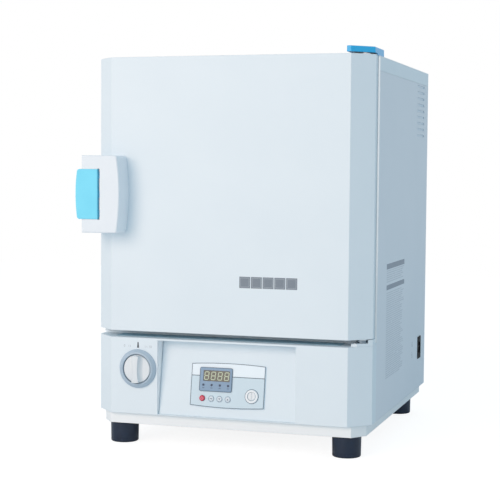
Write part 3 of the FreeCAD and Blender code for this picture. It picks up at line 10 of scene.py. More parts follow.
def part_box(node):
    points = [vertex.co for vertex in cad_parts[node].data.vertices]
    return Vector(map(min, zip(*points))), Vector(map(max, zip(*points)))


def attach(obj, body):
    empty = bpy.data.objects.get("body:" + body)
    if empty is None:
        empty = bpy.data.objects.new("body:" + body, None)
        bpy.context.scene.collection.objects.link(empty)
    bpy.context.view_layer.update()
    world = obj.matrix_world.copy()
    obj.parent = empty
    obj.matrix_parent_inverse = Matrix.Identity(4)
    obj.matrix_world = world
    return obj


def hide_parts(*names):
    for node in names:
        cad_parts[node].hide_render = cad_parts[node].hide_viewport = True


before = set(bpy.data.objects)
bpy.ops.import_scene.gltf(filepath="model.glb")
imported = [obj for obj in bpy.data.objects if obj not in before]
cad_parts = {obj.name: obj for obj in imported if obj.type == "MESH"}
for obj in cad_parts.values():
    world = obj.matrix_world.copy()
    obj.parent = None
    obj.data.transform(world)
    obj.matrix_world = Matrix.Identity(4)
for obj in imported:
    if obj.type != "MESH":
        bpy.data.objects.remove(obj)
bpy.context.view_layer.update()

bl_info = {
    "name": "Laboratory drying oven",
    "version": (1, 0, 0),
    "blender": (4, 5, 0),
    "location": "3D View > Sidebar > Drying oven",
    "description": "Finishes, printed marks, door seal and studio stage of a bench-top drying oven",
    "category": "Object",
}

# The pieces are laid out in millimetres from the middle of the door's face, on the floor
MM = 0.001
DOOR_LOW, DOOR_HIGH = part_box("door_outer_panel")
SHIFT = np.array([(DOOR_LOW.x + DOOR_HIGH.x) / 2, DOOR_LOW.y, 0.0])
HALF = (DOOR_HIGH.x - DOOR_LOW.x) / 2 / MM

# Left-hand wall and slanting floor of the recess in the control fascia; the floor's ends are (y, z)
RECESS_LEFT = -101.5
SLOPE_BOTTOM = np.array([4.0, 46.7])
SLOPE_TOP = np.array([21.5, 151.0])
SLOPE_LEAN = math.atan2(*(SLOPE_TOP - SLOPE_BOTTOM))

# Printed marks stand this far off what they are printed on; films of ink, thick and thin
LIFT = 0.02
FILM = 0.05
THIN_FILM = 0.04


# Placing: each turns (across, up, out) in millimetres on one face of the oven into (x, y, z)

def on_front(a, b, h):
    """On the door's face: across to the right, up, and out to the front."""
    return np.stack(np.broadcast_arrays(a, -h, b), -1)


def on_right(a, b, h):
    """On the right-hand side: across to the back, up, and out to the right."""
    return np.stack(np.broadcast_arrays(HALF + h, a, b), -1)


def on_left(a, b, h):
    """On the left-hand side: across to the back, up, and out to the left."""
    return np.stack(np.broadcast_arrays(-HALF - h, a, b), -1)


def on_slope(a, s, h):
    """On the recess's floor: across to the right, s up the slope, and out square to it."""
    sine = math.sin(SLOPE_LEAN)
    cosine = math.cos(SLOPE_LEAN)
    y = SLOPE_BOTTOM[0] + s * sine - h * cosine
    z = SLOPE_BOTTOM[1] + s * cosine + h * sine
    return np.stack(np.broadcast_arrays(a, y, z), -1)


def up_right(a, b, h):
    """On the right-hand side, turned to read upwards: across is up, and up is to the front."""
    return on_right(-b, a, h)


def as_drawn(x, y, z):
    """Straight in the oven's own axes."""
    return np.stack(np.broadcast_arrays(x, y, z), -1)


def on_recess_left(a, b, h):
    """On the recess's left-hand wall: across to the back, up, and out to the right."""
    return as_drawn(RECESS_LEFT + h, a, b)


def carried_up(place):
    """Placing for a section drawn (across, out) on one side of the oven and carried upwards."""
    def stand(a, h, b):
        return place(a, b, h)
    return stand


def slope_spot(node):
    """Where a CAD node's middle stands on the recess's floor, as (across, up the slope)."""
    low, high = (np.array(corner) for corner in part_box(node))
    x, y, z = ((low + high) / 2 - SHIFT) / MM
    up = (y - SLOPE_BOTTOM[0]) * math.sin(SLOPE_LEAN) + (z - SLOPE_BOTTOM[1]) * math.cos(SLOPE_LEAN)
    return x, up


def along(axis, centre):
    """Placing about a centre, with the height along a main axis: the other two axes are across and up."""
    frames = {"x": ((0, 1, 0), (0, 0, 1), (1, 0, 0)), "y": ((-1, 0, 0), (0, 0, 1), (0, 1, 0)),
              "z": ((1, 0, 0), (0, 1, 0), (0, 0, 1)), "-z": ((0, 1, 0), (1, 0, 0), (0, 0, -1)),
              "-y": ((1, 0, 0), (0, 0, 1), (0, -1, 0))}
    across, up, out = (np.array(v, float) for v in frames[axis])
    start = np.array(centre, float)

    def place(a, b, h):
        parts = (np.asarray(v, float)[..., None] for v in np.broadcast_arrays(a, b, h))
        a, b, h = parts
        return start + a * across + b * up + h * out
    return place


# Shapes: each returns points and faces

def grid_faces(rows, columns, wrap_rows=False, wrap_columns=False):
    """Quads between neighbours on a grid of rows by columns, with either way closed on itself."""
    index = np.arange(rows * columns).reshape(rows, columns)
    if wrap_rows:
        index = np.vstack([index, index[:1]])
    if wrap_columns:
        index = np.hstack([index, index[:, :1]])
    quads = np.stack([index[:-1, :-1], index[:-1, 1:], index[1:, 1:], index[1:, :-1]], -1)
    return quads.reshape(-1, 4).tolist()


def plate(outline, low, high, place):
    """Flat plate: the outline at two heights, joined by a wall and closed by two faces."""
    outline = np.asarray(outline, float)
    count = len(outline)
    a = np.tile(outline[:, 0], 2)
    b = np.tile(outline[:, 1], 2)
    h = np.repeat([low, high], count)
    faces = grid_faces(2, count, wrap_columns=True)
    faces += [list(range(count))[::-1], list(range(count, 2 * count))]
    return place(a, b, h), faces


def turned(profile, place, turns=48):
    """Turned shape: a profile of (radius, height) carried round the axis; a zero radius closes it."""
    profile = np.asarray(profile, float)
    angle = np.linspace(0, 2 * np.pi, turns, endpoint=False)
    radius, height = profile[:, :1], profile[:, 1:]
    points = place(radius * np.cos(angle), radius * np.sin(angle), height + 0 * angle)
    return points.reshape(-1, 3), grid_faces(len(profile), turns, wrap_columns=True)


def ring_outline(radius, turns=40, centre=(0, 0)):
    """Circle of points: the centre plus a radius at evenly spaced angles."""
    angle = np.linspace(0, 2 * np.pi, turns, endpoint=False)
    return np.stack([centre[0] + radius * np.cos(angle), centre[1] + radius * np.sin(angle)], -1)


def rect_outline(left, right, low, high, corner=0.0, steps=6):
    """Rectangle whose corners are quarter circles: each corner's centre plus a radius at its angles."""
    if not corner:
        return np.array([(left, low), (right, low), (right, high), (left, high)], float)
    quarter = np.linspace(0, np.pi / 2, steps + 1)
    centres = [(right - corner, high - corner), (left + corner, high - corner),
               (left + corner, low + corner), (right - corner, low + corner)]
    arcs = [np.stack([x + corner * np.cos(quarter + k * np.pi / 2),
                      y + corner * np.sin(quarter + k * np.pi / 2)], -1)
            for k, (x, y) in enumerate(centres)]
    return np.concatenate(arcs)


def barrel_outline(left, right, low, high, arch, steps=24):
    """Box whose top and bottom edges bow outwards: each height plus an arch of one minus a square."""
    across = np.linspace(-1, 1, steps)
    bow = arch * (1 - across ** 2)
    x = (left + right) / 2 + across * (right - left) / 2
    bottom = np.stack([x, low - bow], -1)
    top = np.stack([x[::-1], high + bow[::-1]], -1)
    return np.concatenate([bottom, top])


def band(outer, inner, low, high, place):
    """Closed band between two outlines of equal count, at two heights."""
    count = len(outer)
    stack = np.concatenate([outer, outer, inner, inner])
    h = np.repeat([low, high, high, low], count)
    return place(stack[:, 0], stack[:, 1], h), grid_faces(4, count, wrap_rows=True, wrap_columns=True)


def printed(outline, base, place, film=FILM):
    """Mark in a film of ink on a surface at a base height."""
    return plate(outline, base + LIFT, base + LIFT + film, place)


def printed_ring(centre, outer, inner, base, place):
    """Ring of ink between two radii on a surface at a base height."""
    return band(ring_outline(outer, centre=centre), ring_outline(inner, centre=centre),
                base + LIFT, base + LIFT + FILM, place)


def combined(shapes):
    """One set of points and faces out of several."""
    points = []
    faces = []
    start = 0
    for some_points, some_faces in shapes:
        points.append(np.asarray(some_points, float).reshape(-1, 3))
        faces += [[start + i for i in face] for face in some_faces]
        start += len(points[-1])
    return np.concatenate(points), faces


def make_piece(name, shape, material, body, round_below=35.0):
    """Piece from points in millimetres; doubles are merged, faces turned out and soft edges smoothed."""
    points, faces = shape
    mesh = bpy.data.meshes.new(name)
    mesh.from_pydata((np.asarray(points) * MM + SHIFT).tolist(), [], faces)
    work = bmesh.new()
    work.from_mesh(mesh)
    bmesh.ops.remove_doubles(work, verts=work.verts, dist=1e-7)
    bmesh.ops.recalc_face_normals(work, faces=work.faces)
    work.to_mesh(mesh)
    work.free()
    mesh.set_sharp_from_angle(angle=math.radians(round_below))
    mesh.polygons.foreach_set("use_smooth", np.ones(len(mesh.polygons), bool))
    mesh.materials.append(material)
    piece = bpy.data.objects.new(name, mesh)
    bpy.context.scene.collection.objects.link(piece)
    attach(piece, body)
    return piece


def letters(text, size, centre, low, high, place):
    """Plain digits or words in Blender's own font, as a flat mesh carried onto a face of the oven."""
    curve = bpy.data.curves.new("letters", "FONT")
    curve.body = text
    curve.size = size
    curve.align_x = "CENTER"
    curve.align_y = "CENTER"
    curve.resolution_u = 3
    # Blender extrudes both ways, so the mesh runs from minus to plus this height
    half = 0.5
    curve.extrude = half
    holder = bpy.data.objects.new("letters", curve)
    mesh = bpy.data.meshes.new_from_object(holder)
    spots = np.zeros(len(mesh.vertices) * 3)
    mesh.vertices.foreach_get("co", spots)
    spots = spots.reshape(-1, 3)
    faces = [list(face.vertices) for face in mesh.polygons]
    bpy.data.objects.remove(holder)
    bpy.data.curves.remove(curve)
    bpy.data.meshes.remove(mesh)
    height = low + (spots[:, 2] + half) * (high - low)
    return place(spots[:, 0] + centre[0], spots[:, 1] + centre[1], height), faces


# Materials

def srgb(text, alpha=1.0):
    """Linear colour of an sRGB hex value."""
    values = [int(text[i:i + 2], 16) / 255 for i in (1, 3, 5)]
    return [v / 12.92 if v <= 0.04045 else ((v + 0.055) / 1.055) ** 2.4 for v in values] + [alpha]


def add(tree, kind, settings=None, inputs=None):
    """Adds a node, with its settings, its input values and its links from other nodes' sockets."""
    node = tree.nodes.new(kind)
    for name, value in (settings or {}).items():
        setattr(node, name, value)
    for name, value in (inputs or {}).items():
        if isinstance(value, bpy.types.NodeSocket):
            tree.links.new(value, node.inputs[name])
        else:
            node.inputs[name].default_value = value
    return node


def start_material(name, values):
    """Material with one Principled shader set to the values.

    Returns the material, its tree, the shader and the socket of the piece's own coordinates."""
    material = bpy.data.materials.new(name)
    material.use_nodes = True
    tree = material.node_tree
    shader = tree.nodes["Principled BSDF"]
    for key, value in values.items():
        shader.inputs[key].default_value = value
    material.diffuse_color = shader.inputs["Base Color"].default_value[:]
    place = add(tree, "ShaderNodeTexCoord").outputs["Object"]
    return material, tree, shader, place


def clouds(tree, place, width, detail=2.0):
    """Noise in clumps of a width in metres, with more layers of finer clumps as the detail rises."""
    noise = add(tree, "ShaderNodeTexNoise", None, {"Vector": place, "Scale": 1 / width, "Detail": detail})
    return noise.outputs[0]


def tinted(tree, shader, height, darker, lighter):
    """Base colour that runs from a darker to a lighter tone with a height pattern."""
    tone = add(tree, "ShaderNodeMix", {"data_type": "RGBA"}, {0: height, 6: srgb(darker), 7: srgb(lighter)})
    tree.links.new(tone.outputs[2], shader.inputs["Base Color"])


def relief(tree, shader, height, strength, depth, edge=None):
    """Bump of a depth in metres; where an edge is given, folds are rounded by that many millimetres."""
    bump = add(tree, "ShaderNodeBump", None, {"Strength": strength, "Distance": depth, "Height": height})
    if edge:
        fold = add(tree, "ShaderNodeBevel", {"samples": 4}, {"Radius": edge * MM})
        tree.links.new(fold.outputs[0], bump.inputs["Normal"])
    tree.links.new(bump.outputs[0], shader.inputs["Normal"])


def powder_coat(name, darker, lighter, edge=0.9):
    """Powder coat baked on sheet steel: a satin gloss over faint orange peel, soft at the folds."""
    material, tree, shader, place = start_material(
        name, {"Base Color": srgb(lighter), "Roughness": 0.55, "IOR": 1.5, "Specular IOR Level": 0.3})
    # The peel of powder coat is 1 to 2 mm across, and the film's thickness drifts over a hand's width
    peel = clouds(tree, place, 0.0016, 1.0)
    drift = clouds(tree, place, 0.09)
    tinted(tree, shader, drift, darker, lighter)
    relief(tree, shader, peel, 0.12, 0.00004, edge)
    return material


def moulded_plastic(name, darker, lighter, roughness, edge=0.5, sheen=0.5):
    """ABS from a spark-eroded mould: even colour with a fine grain that breaks up the gloss."""
    material, tree, shader, place = start_material(
        name, {"Base Color": srgb(lighter), "Roughness": roughness, "IOR": 1.53, "Specular IOR Level": sheen})
    # Real grain is near 0.05 mm; drawn at 0.4 mm so that it shows
    grain = clouds(tree, place, 0.0004)
    flow = clouds(tree, place, 0.03, 1.0)
    tinted(tree, shader, flow, darker, lighter)
    relief(tree, shader, grain, 0.15, 0.00003, edge)
    return material


def brushed_metal(name, darker, lighter, roughness, stretch, edge=0.3):
    """Rolled or brushed metal: long fine scratches along one way, drawn by a stretched noise."""
    material, tree, shader, place = start_material(
        name, {"Base Color": srgb(lighter), "Roughness": roughness, "Metallic": 1.0})
    drawn = add(tree, "ShaderNodeMapping", None, {"Vector": place, "Scale": stretch})
    # Scratches are 0.3 mm apart, coarser than a real brush leaves them
    scratch = clouds(tree, drawn.outputs[0], 0.0003, 3.0)
    tinted(tree, shader, scratch, darker, lighter)
    relief(tree, shader, scratch, 0.2, 0.00002, edge)
    return material


def galvanised_steel(name):
    """Hot-dipped sheet: zinc crystals 6 mm wide, each with its own grey and its own roughness."""
    material, tree, shader, place = start_material(
        name, {"Base Color": srgb("#b4babf"), "Roughness": 0.45, "Metallic": 1.0})
    crystal = add(tree, "ShaderNodeTexVoronoi", None, {"Vector": place, "Scale": 1 / 0.006})
    shade = add(tree, "ShaderNodeSeparateColor", None, {0: crystal.outputs["Color"]})
    tinted(tree, shader, shade.outputs[0], "#a3a9ae", "#bfc5c9")
    rough = add(tree, "ShaderNodeMapRange", None, {"Value": shade.outputs[1], "To Min": 0.36, "To Max": 0.52})
    tree.links.new(rough.outputs[0], shader.inputs["Roughness"])
    return material


def rubber(name, darker, lighter, roughness):
    """Moulded rubber, silicone or foam: a soft matt skin with a dusty bloom in patches."""
    material, tree, shader, place = start_material(
        name, {"Base Color": srgb(lighter), "Roughness": roughness, "IOR": 1.52})
    bloom = clouds(tree, place, 0.008, 4.0)
    tinted(tree, shader, bloom, darker, lighter)
    relief(tree, shader, bloom, 0.2, 0.00003, 0.8)
    return material


def mineral_wool(name):
    """Spun rock fibre: matt, tan, in clumps about 5 mm wide."""
    material, tree, shader, place = start_material(
        name, {"Base Color": srgb("#c9b98a"), "Roughness": 0.95, "IOR": 1.4})
    clump = clouds(tree, place, 0.005, 5.0)
    tinted(tree, shader, clump, "#a8966a", "#ddcf9f")
    relief(tree, shader, clump, 0.8, 0.001)
    return material


def printed_panel(name, upper, lower, split):
    """Screen-printed control panel: satin film in two tones, parted at a height up the slope."""
    material, tree, shader, place = start_material(
        name, {"Base Color": srgb(lower), "Roughness": 0.4, "IOR": 1.5})
    up = (0.0, math.sin(SLOPE_LEAN), math.cos(SLOPE_LEAN))
    climb = add(tree, "ShaderNodeVectorMath", {"operation": "DOT_PRODUCT"}, {0: place, 1: up})
    level = float(np.dot(on_slope(0.0, split, 0.0) * MM + SHIFT, up))
    above = add(tree, "ShaderNodeMath", {"operation": "GREATER_THAN"}, {0: climb.outputs["Value"], 1: level})
    tinted(tree, shader, above.outputs[0], lower, upper)
    # The film's fine matt grain, drawn at 0.4 mm
    relief(tree, shader, clouds(tree, place, 0.0004), 0.1, 0.00002, 0.4)
    return material


def smoked_window(name):
    """Smoked acrylic over the digits: dark olive, glossy, clouded a little by what is behind it."""
    material, tree, shader, place = start_material(
        name, {"Base Color": srgb("#36433f"), "Roughness": 0.18, "IOR": 1.49})
    tinted(tree, shader, clouds(tree, place, 0.01), "#2e3a37", "#3f4c46")
    return material


def lit_digit(name, colour, strength):
    """Lit display segment seen through the smoked window: pale, and a little brighter than paint."""
    material, tree, shader, place = start_material(
        name, {"Base Color": srgb(colour), "Roughness": 0.5, "IOR": 1.49,
               "Emission Color": srgb(colour), "Emission Strength": strength})
    tinted(tree, shader, clouds(tree, place, 0.002), colour, "#cddac2")
    return material


def ink(name, darker, lighter):
    """Screen ink, a thin satin layer whose cover varies a little."""
    material, tree, shader, place = start_material(
        name, {"Base Color": srgb(lighter), "Roughness": 0.5, "IOR": 1.5})
    tinted(tree, shader, clouds(tree, place, 0.002), darker, lighter)
    return material


class OvenColours(bpy.types.PropertyGroup):
    """Colours that a user would change."""
    coat: FloatVectorProperty(name="Door paint", description="Powder coat of the door, front frame and fascia",
                              subtype="COLOR", size=3, min=0, max=1, default=srgb("#e6f2f9")[:3])
    # A little darker than the door paint; part of the difference is painted shade on the side panels
    body: FloatVectorProperty(name="Body paint", description="Powder coat of the side, top and rear panels",
                              subtype="COLOR", size=3, min=0, max=1, default=srgb("#e3ebf3")[:3])
    paddle: FloatVectorProperty(name="Paddle", description="Release paddle in the door's handle",
                                subtype="COLOR", size=3, min=0, max=1, default=srgb("#82e4ff")[:3])


class OvenSizes(bpy.types.PropertyGroup):
    """Sizes of the dressed pieces."""
    seal_bulge: FloatProperty(name="Seal height", description="How far the door seal stands off the door",
                              default=7.6 * MM, min=2 * MM, max=7.65 * MM, unit="LENGTH")
    digit_height: FloatProperty(name="Digit height", description="Height of a lit display digit",
                                default=11.6 * MM, min=4 * MM, max=13 * MM, unit="LENGTH")
    digit_count: IntProperty(name="Digits", description="Digits in the display window", default=4, min=1, max=4)


def hexed(colour):
    """Hex value of a linear colour, so that one function stays the way in for every colour."""
    linear = np.clip(np.array(colour[:3]), 0, 1)
    coded = np.where(linear <= 0.0031308, 12.92 * linear, 1.055 * linear ** (1 / 2.4) - 0.055)
    return "#" + "".join("%02x" % int(round(v * 255)) for v in coded)


def finish_nodes(material, *nodes):
    """Gives CAD nodes a material, in every slot of their meshes."""
    for node in nodes:
        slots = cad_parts[node].data.materials
        for i in range(len(slots)):
            slots[i] = material
        if len(slots) == 0:
            slots.append(material)


class OvenSheetMetal(bpy.types.Operator):
    """Powder coat on the cabinet and door, zinc and steel on what is behind them"""
    bl_idname = "oven.sheet_metal"
    bl_label = "Sheet metal"

    def execute(self, context):
        coat = powder_coat("powder coat, cool white", "#e0edf5", hexed(context.scene.oven_colours.coat))
        finish_nodes(coat, "door_outer_panel", "front_frame", "control_fascia", "control_recess", "top_cover",
                     "lower_hinge_bracket")
        # The side and rear panels get a paint a little darker than the door's; part of the difference is
        # painted shade on the sides
        body = powder_coat("powder coat, light grey, partly painted shade", "#dee7ef", hexed(context.scene.oven_colours.body))
        finish_nodes(body, "side_panel_left", "side_panel_right", "rear_cover")
        # The base tray's paint is whiter than the door's; part of that is painted light, lifting the shade
        # under the fascia
        tray_paint_and_light = powder_coat("powder coat, white, partly painted light", "#f1f7fa", "#f6fbfd")
        finish_nodes(tray_paint_and_light, "base_tray")
        zinc = galvanised_steel("galvanised steel")
        finish_nodes(zinc, "divider_plate", "latch_case")
        plated = brushed_metal("zinc-plated steel", "#9fa6ab", "#c6cbcf", 0.32, (1, 1, 0.2))
        finish_nodes(plated, "latch_keeper", "latch_pin", "latch_lever", "paddle_pin", "hinge_pins",
                     "upper_hinge_bracket", "damper_shaft", "damper_shutter",
                     "exhaust_pipe", "intake_duct")
        return {"FINISHED"}


class OvenSideTrim(bpy.types.Operator):
    """Bright edge strips beside the door, and painted light: pale screens behind the louvres, a pale blue sheet
    on the sill and a whiter film on the recess's left-hand wall
    """
    bl_idname = "oven.side_trim"
    bl_label = "Side trim"

    def execute(self, context):
        bright = brushed_metal("anodised aluminium strip", "#d3dde3", "#e0e8ed", 0.32, (1, 1, 0.02), edge=0.2)
        # Paint for the screens behind the louvres, paler than the body's: painted light against the shade in
        # the slots
        screen = powder_coat("powder coat, louvre screen, painted light", "#dce7f0", "#e4eef6", edge=0.2)
        # Strip's section, (y, off the side): a quarter ellipse in front, a flat crown and a slope behind
        nose_y, nose_deep, nose_tall, root = 46.4, 1.4, 1.75, -0.9
        turn = np.linspace(0, np.pi / 2, 9)
        nose = np.stack([nose_y - nose_deep * np.cos(turn), root + nose_tall * np.sin(turn)], -1)
        section = np.concatenate([nose, [(48.6, 0.85), (51.4, 0.3), (51.6, -0.2)]])
        frame_low, frame_high = 156.0, 545.0
        # The screens lie just inside the side panels, over the louvres' field; their pale paint is painted
        # light that lifts the shade seen through the slots
        louvres = rect_outline(328.5, 389.5, 442.5, 526.0)
        screen_in, screen_out = -1.5, -1.25
        for side, place in (("right", on_right), ("left", on_left)):
            strip = plate(section, frame_low, frame_high, carried_up(place))
            make_piece("edge_strip_" + side, strip, bright, "cabinet")
            backing = plate(louvres, screen_in, screen_out, place)
            make_piece("louvre_screen_" + side, backing, screen, "cabinet")
        # Painted light: a thin pale blue sheet on the ledge under the door stands in for the bluish light in
        # the gap below the door
        foam = rubber("pale blue sheet, painted gap light", "#acd2e3", "#b9dcea", 0.8)
        ledge_z, sheet_thick = 153.75, 0.4
        sill = plate(rect_outline(-170.0, 158.0, 14.0, 43.5), ledge_z, ledge_z + sheet_thick, as_drawn)
        make_piece("sill_painted_light", sill, foam, "cabinet")
        # Painted light: a whiter film on the recess's left-hand wall lifts the shade that falls on it
        film = powder_coat("recess wall film, painted light", "#f4fafe", "#fafdff", edge=0.2)
        # Outline of the recess's left-hand wall, whose rear edge is the slanting floor
        cheek = printed([(1.6, 46.9), (3.9, 46.9), (21.2, 150.8), (1.6, 150.8)], 0.0, on_recess_left, film=0.03)
        make_piece("recess_wall_painted_light", cheek, film, "cabinet")
        return {"FINISHED"}


class OvenInterior(bpy.types.Operator):
    """Stainless chamber, shelves, heater and probe"""
    bl_idname = "oven.interior"
    bl_label = "Interior"

    def execute(self, context):
        stainless = brushed_metal("stainless steel, brushed", "#b3b7ba", "#d5d8da", 0.3, (0.04, 1, 1))
        finish_nodes(stainless, "chamber", "floor_plate", "shelf_rails", "door_inner_panel")
        wire = brushed_metal("stainless wire, electropolished", "#c2c6c9", "#e2e4e6", 0.16, (1, 1, 1))
        finish_nodes(wire, "shelf_lower", "shelf_upper", "temperature_probe")
        sheath = brushed_metal("heater sheath, heat-tinted steel", "#6f665c", "#9a8a74", 0.42, (1, 1, 1))
        finish_nodes(sheath, "heater")
        wool = mineral_wool("mineral wool")
        finish_nodes(wool, "insulation", "door_insulation")
        return {"FINISHED"}


class OvenMouldings(bpy.types.Operator):
    """Handle, paddle, hinge cap, knob, bezels and buttons"""
    bl_idname = "oven.mouldings"
    bl_label = "Mouldings"

    def execute(self, context):
        handle = moulded_plastic("moulded ABS, cool white", "#e4eef6", "#eaf3fa", 0.5, edge=0.8, sheen=0.25)
        finish_nodes(handle, "handle_housing")
        paddle = moulded_plastic("moulded ABS, sky blue", "#79dcf9",
                                 hexed(context.scene.oven_colours.paddle), 0.45, sheen=0.25)
        finish_nodes(paddle, "release_paddle")
        cap = moulded_plastic("moulded ABS, mid blue", "#1aaee9", "#22b8f1", 0.35)
        finish_nodes(cap, "hinge_cap")
        ring = moulded_plastic("moulded ABS, grey-blue", "#a6bbcc", "#b4c8d8", 0.35)
        finish_nodes(ring, "knob_bezel")
        knob = moulded_plastic("moulded ABS, light grey", "#dbe4ea", "#e6edf1", 0.4)
        finish_nodes(knob, "damper_knob", "setting_dial")
        keys = moulded_plastic("moulded ABS, pale key", "#cfdde8", "#d8e4ed", 0.35, edge=0.2)
        finish_nodes(keys, "key_left", "key_middle", "key_right")
        red = moulded_plastic("moulded ABS, red key", "#c32f4e", "#cd3858", 0.4, edge=0.2)
        finish_nodes(red, "power_button")
        black = moulded_plastic("moulded polyamide, black", "#0b0f15", "#11161d", 0.6, sheen=0.12)
        finish_nodes(black, "breaker_body", "breaker_lever", "power_gland")
        return {"FINISHED"}


class OvenHardware(bpy.types.Operator):
    """Feet, acetal bushes, steel washers, heat sink and circuit board"""
    bl_idname = "oven.hardware"
    bl_label = "Hardware"

    def execute(self, context):
        foot = rubber("moulded rubber, blue-black", "#06172d", "#0f2641", 0.33)
        finish_nodes(foot, "foot_front_left", "foot_front_right", "foot_rear_left", "foot_rear_right")
        acetal = moulded_plastic("turned acetal, white", "#e3e7ea", "#eff1f3", 0.3, edge=0.2)
        finish_nodes(acetal, "hinge_bushes")
        turned_steel = brushed_metal("turned steel washer", "#7f8c97", "#93a0aa", 0.22, (1, 1, 0.2), edge=0.1)
        finish_nodes(turned_steel, "hinge_washers")
        sink = brushed_metal("extruded aluminium", "#b5b9bd", "#cfd2d5", 0.4, (1, 0.05, 1))
        finish_nodes(sink, "relay_module")
        board = moulded_plastic("glass-epoxy board, solder mask", "#1d5a3c", "#247048", 0.4)
        finish_nodes(board, "control_board")
        return {"FINISHED"}


def screw_head(place, radius, height, shank, length):
    """Pan head: full height times the square root of 1 - t ** 4, where t is the radius over the full one.

    Its crossed recess is the top grid pushed down where either coordinate is within the cross's half width."""
    rings, turns = 13, 48
    across = np.linspace(0, 1, rings)[:, None]
    angle = np.linspace(0, 2 * np.pi, turns, endpoint=False)
    r = radius * across
    a = r * np.cos(angle)
    b = r * np.sin(angle)
    top = height * np.sqrt(np.clip(1 - across ** 4, 0, 1)) + 0 * angle
    arm, reach, sunk = 0.16 * radius, 0.58 * radius, 0.45 * height
    in_cross = ((np.abs(a) < arm) | (np.abs(b) < arm)) & (r < reach)
    top = np.where(in_cross, top - sunk, top)
    dome = place(a, b, top).reshape(-1, 3), grid_faces(rings, turns, wrap_columns=True)
    shaft = turned([(radius, 0), (shank, 0), (shank, -length), (0, -length)], place)
    return combined([dome, shaft])


class OvenScrews(bpy.types.Operator):
    """Cross-recessed pan screws in the feet, rear cover and hinges"""
    bl_idname = "oven.screws"
    bl_label = "Screws"

    def execute(self, context):
        steel = brushed_metal("bright zinc-plated screw", "#a7adb2", "#ced3d6", 0.25, (1, 1, 1), edge=0.1)
        # Each kind of screw: radius and height of its head, radius and length of its shank
        foot_screw = 5.5, 3.2, 3.0, 17.0
        cover_screw = 3.2, 1.9, 1.5, 1.2
        cap_screw = 3.2, 1.9, 2.0, 5.3
        bracket_screw = 2.6, 1.5, 1.5, 4.0
        foot_x, foot_front, foot_rear, foot_z = 164.2, 32.5, 388.5, 16.0
        shapes = [screw_head(along("-z", (x, y, foot_z)), *foot_screw)
                  for x in (-foot_x, foot_x) for y in (foot_front, foot_rear)]
        rear, low, high, edge_x, top_x = 421.0, 70.5, 538.5, 191.8, 60.0
        places = [(side * edge_x, z) for side in (-1, 1) for z in (low, (low + high) / 2, high)]
        places += [(-top_x, high), (top_x, high)]
        shapes += [screw_head(along("y", (x, rear, z)), *cover_screw) for x, z in places]
        cap_z, bracket_x, bracket_z = 552.0, 177.2, 157.7
        shapes += [screw_head(along("z", (x, y, cap_z)), *cap_screw)
                   for x, y in ((176.0, 58.0), (188.0, 74.0))]
        shapes += [screw_head(along("z", (bracket_x, y, bracket_z)), *bracket_screw) for y in (16.0, 34.0)]
        piece = make_piece("screw_heads", combined(shapes), steel, "cabinet")
        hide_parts("screws")
        return {"FINISHED"}


class OvenDoorSeal(bpy.types.Operator):
    """Silicone bulb seal round the back of the door"""
    bl_idname = "oven.door_seal"
    bl_label = "Door seal"

    def execute(self, context):
        silicone = rubber("extruded silicone, grey", "#8d969c", "#a2abb1", 0.55)
        tall = context.scene.oven_sizes.seal_bulge / MM
        # Profile: a flat foot with thin lips and a round bulb on it, (across, off the door)
        arc = np.linspace(-0.28 * np.pi, 1.28 * np.pi, 25)
        foot_thick, oval = 1.2, 1.25
        bulb = (tall - foot_thick) / 2
        crown = np.stack([bulb * oval * np.cos(arc), tall - bulb + bulb * np.sin(arc)], -1)
        foot = np.array([(-6.6, 1.6), (-6.9, 0.9), (-6.9, 0.05), (6.9, 0.05), (6.9, 0.9), (6.6, 1.6)])
        profile = np.concatenate([crown, foot])
        # The seal's middle line is a square about the chamber's mouth, on the back of the door
        mouth_z, reach, corner, door_back = 355.0, 165.0, 13.5, 36.0
        path = rect_outline(-reach, reach, mouth_z - reach, mouth_z + reach, corner, steps=10)
        ahead = np.roll(path, -1, 0) - np.roll(path, 1, 0)
        ahead /= np.linalg.norm(ahead, axis=1, keepdims=True)
        outward = np.stack([ahead[:, 1], -ahead[:, 0]], -1)
        spots = path[:, None, :] + profile[None, :, :1] * outward[:, None, :]
        depth = np.broadcast_to(door_back + profile[None, :, 1], spots.shape[:2])
        points = np.stack([spots[..., 0], depth, spots[..., 1]], -1).reshape(-1, 3)
        shape = points, grid_faces(len(path), len(profile), wrap_rows=True, wrap_columns=True)
        piece = make_piece("door_seal", shape, silicone, "door")
        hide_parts("door_gasket")
        return {"FINISHED"}


# Each bar of a digit runs between two corners of a grid one wide and two high
SEGMENTS = {
    "top": ((0, 2), (1, 2)), "middle": ((0, 1), (1, 1)), "bottom": ((0, 0), (1, 0)),
    "upper left": ((0, 1), (0, 2)), "upper right": ((1, 1), (1, 2)),
    "lower left": ((0, 0), (0, 1)), "lower right": ((1, 0), (1, 1)),
}
# Width of a bar, and where the four lamps stand across the bezel
SEGMENT_WIDTH = 1.05
LAMPS = (-36.0, -23.9, -11.8, 0.3)

def segment(start, end, thick, trim):
    """Six-sided bar between two corners of the digit's grid, pointed at both ends."""
    start = np.array(start, float)
    end = np.array(end, float)
    along_it = (end - start) / np.linalg.norm(end - start)
    side = np.array([-along_it[1], along_it[0]]) * thick / 2
    start = start + along_it * trim
    end = end - along_it * trim
    inset = along_it * thick / 2
    return np.array([start, start + inset - side, end - inset - side, end, end - inset + side,
                     start + inset + side])


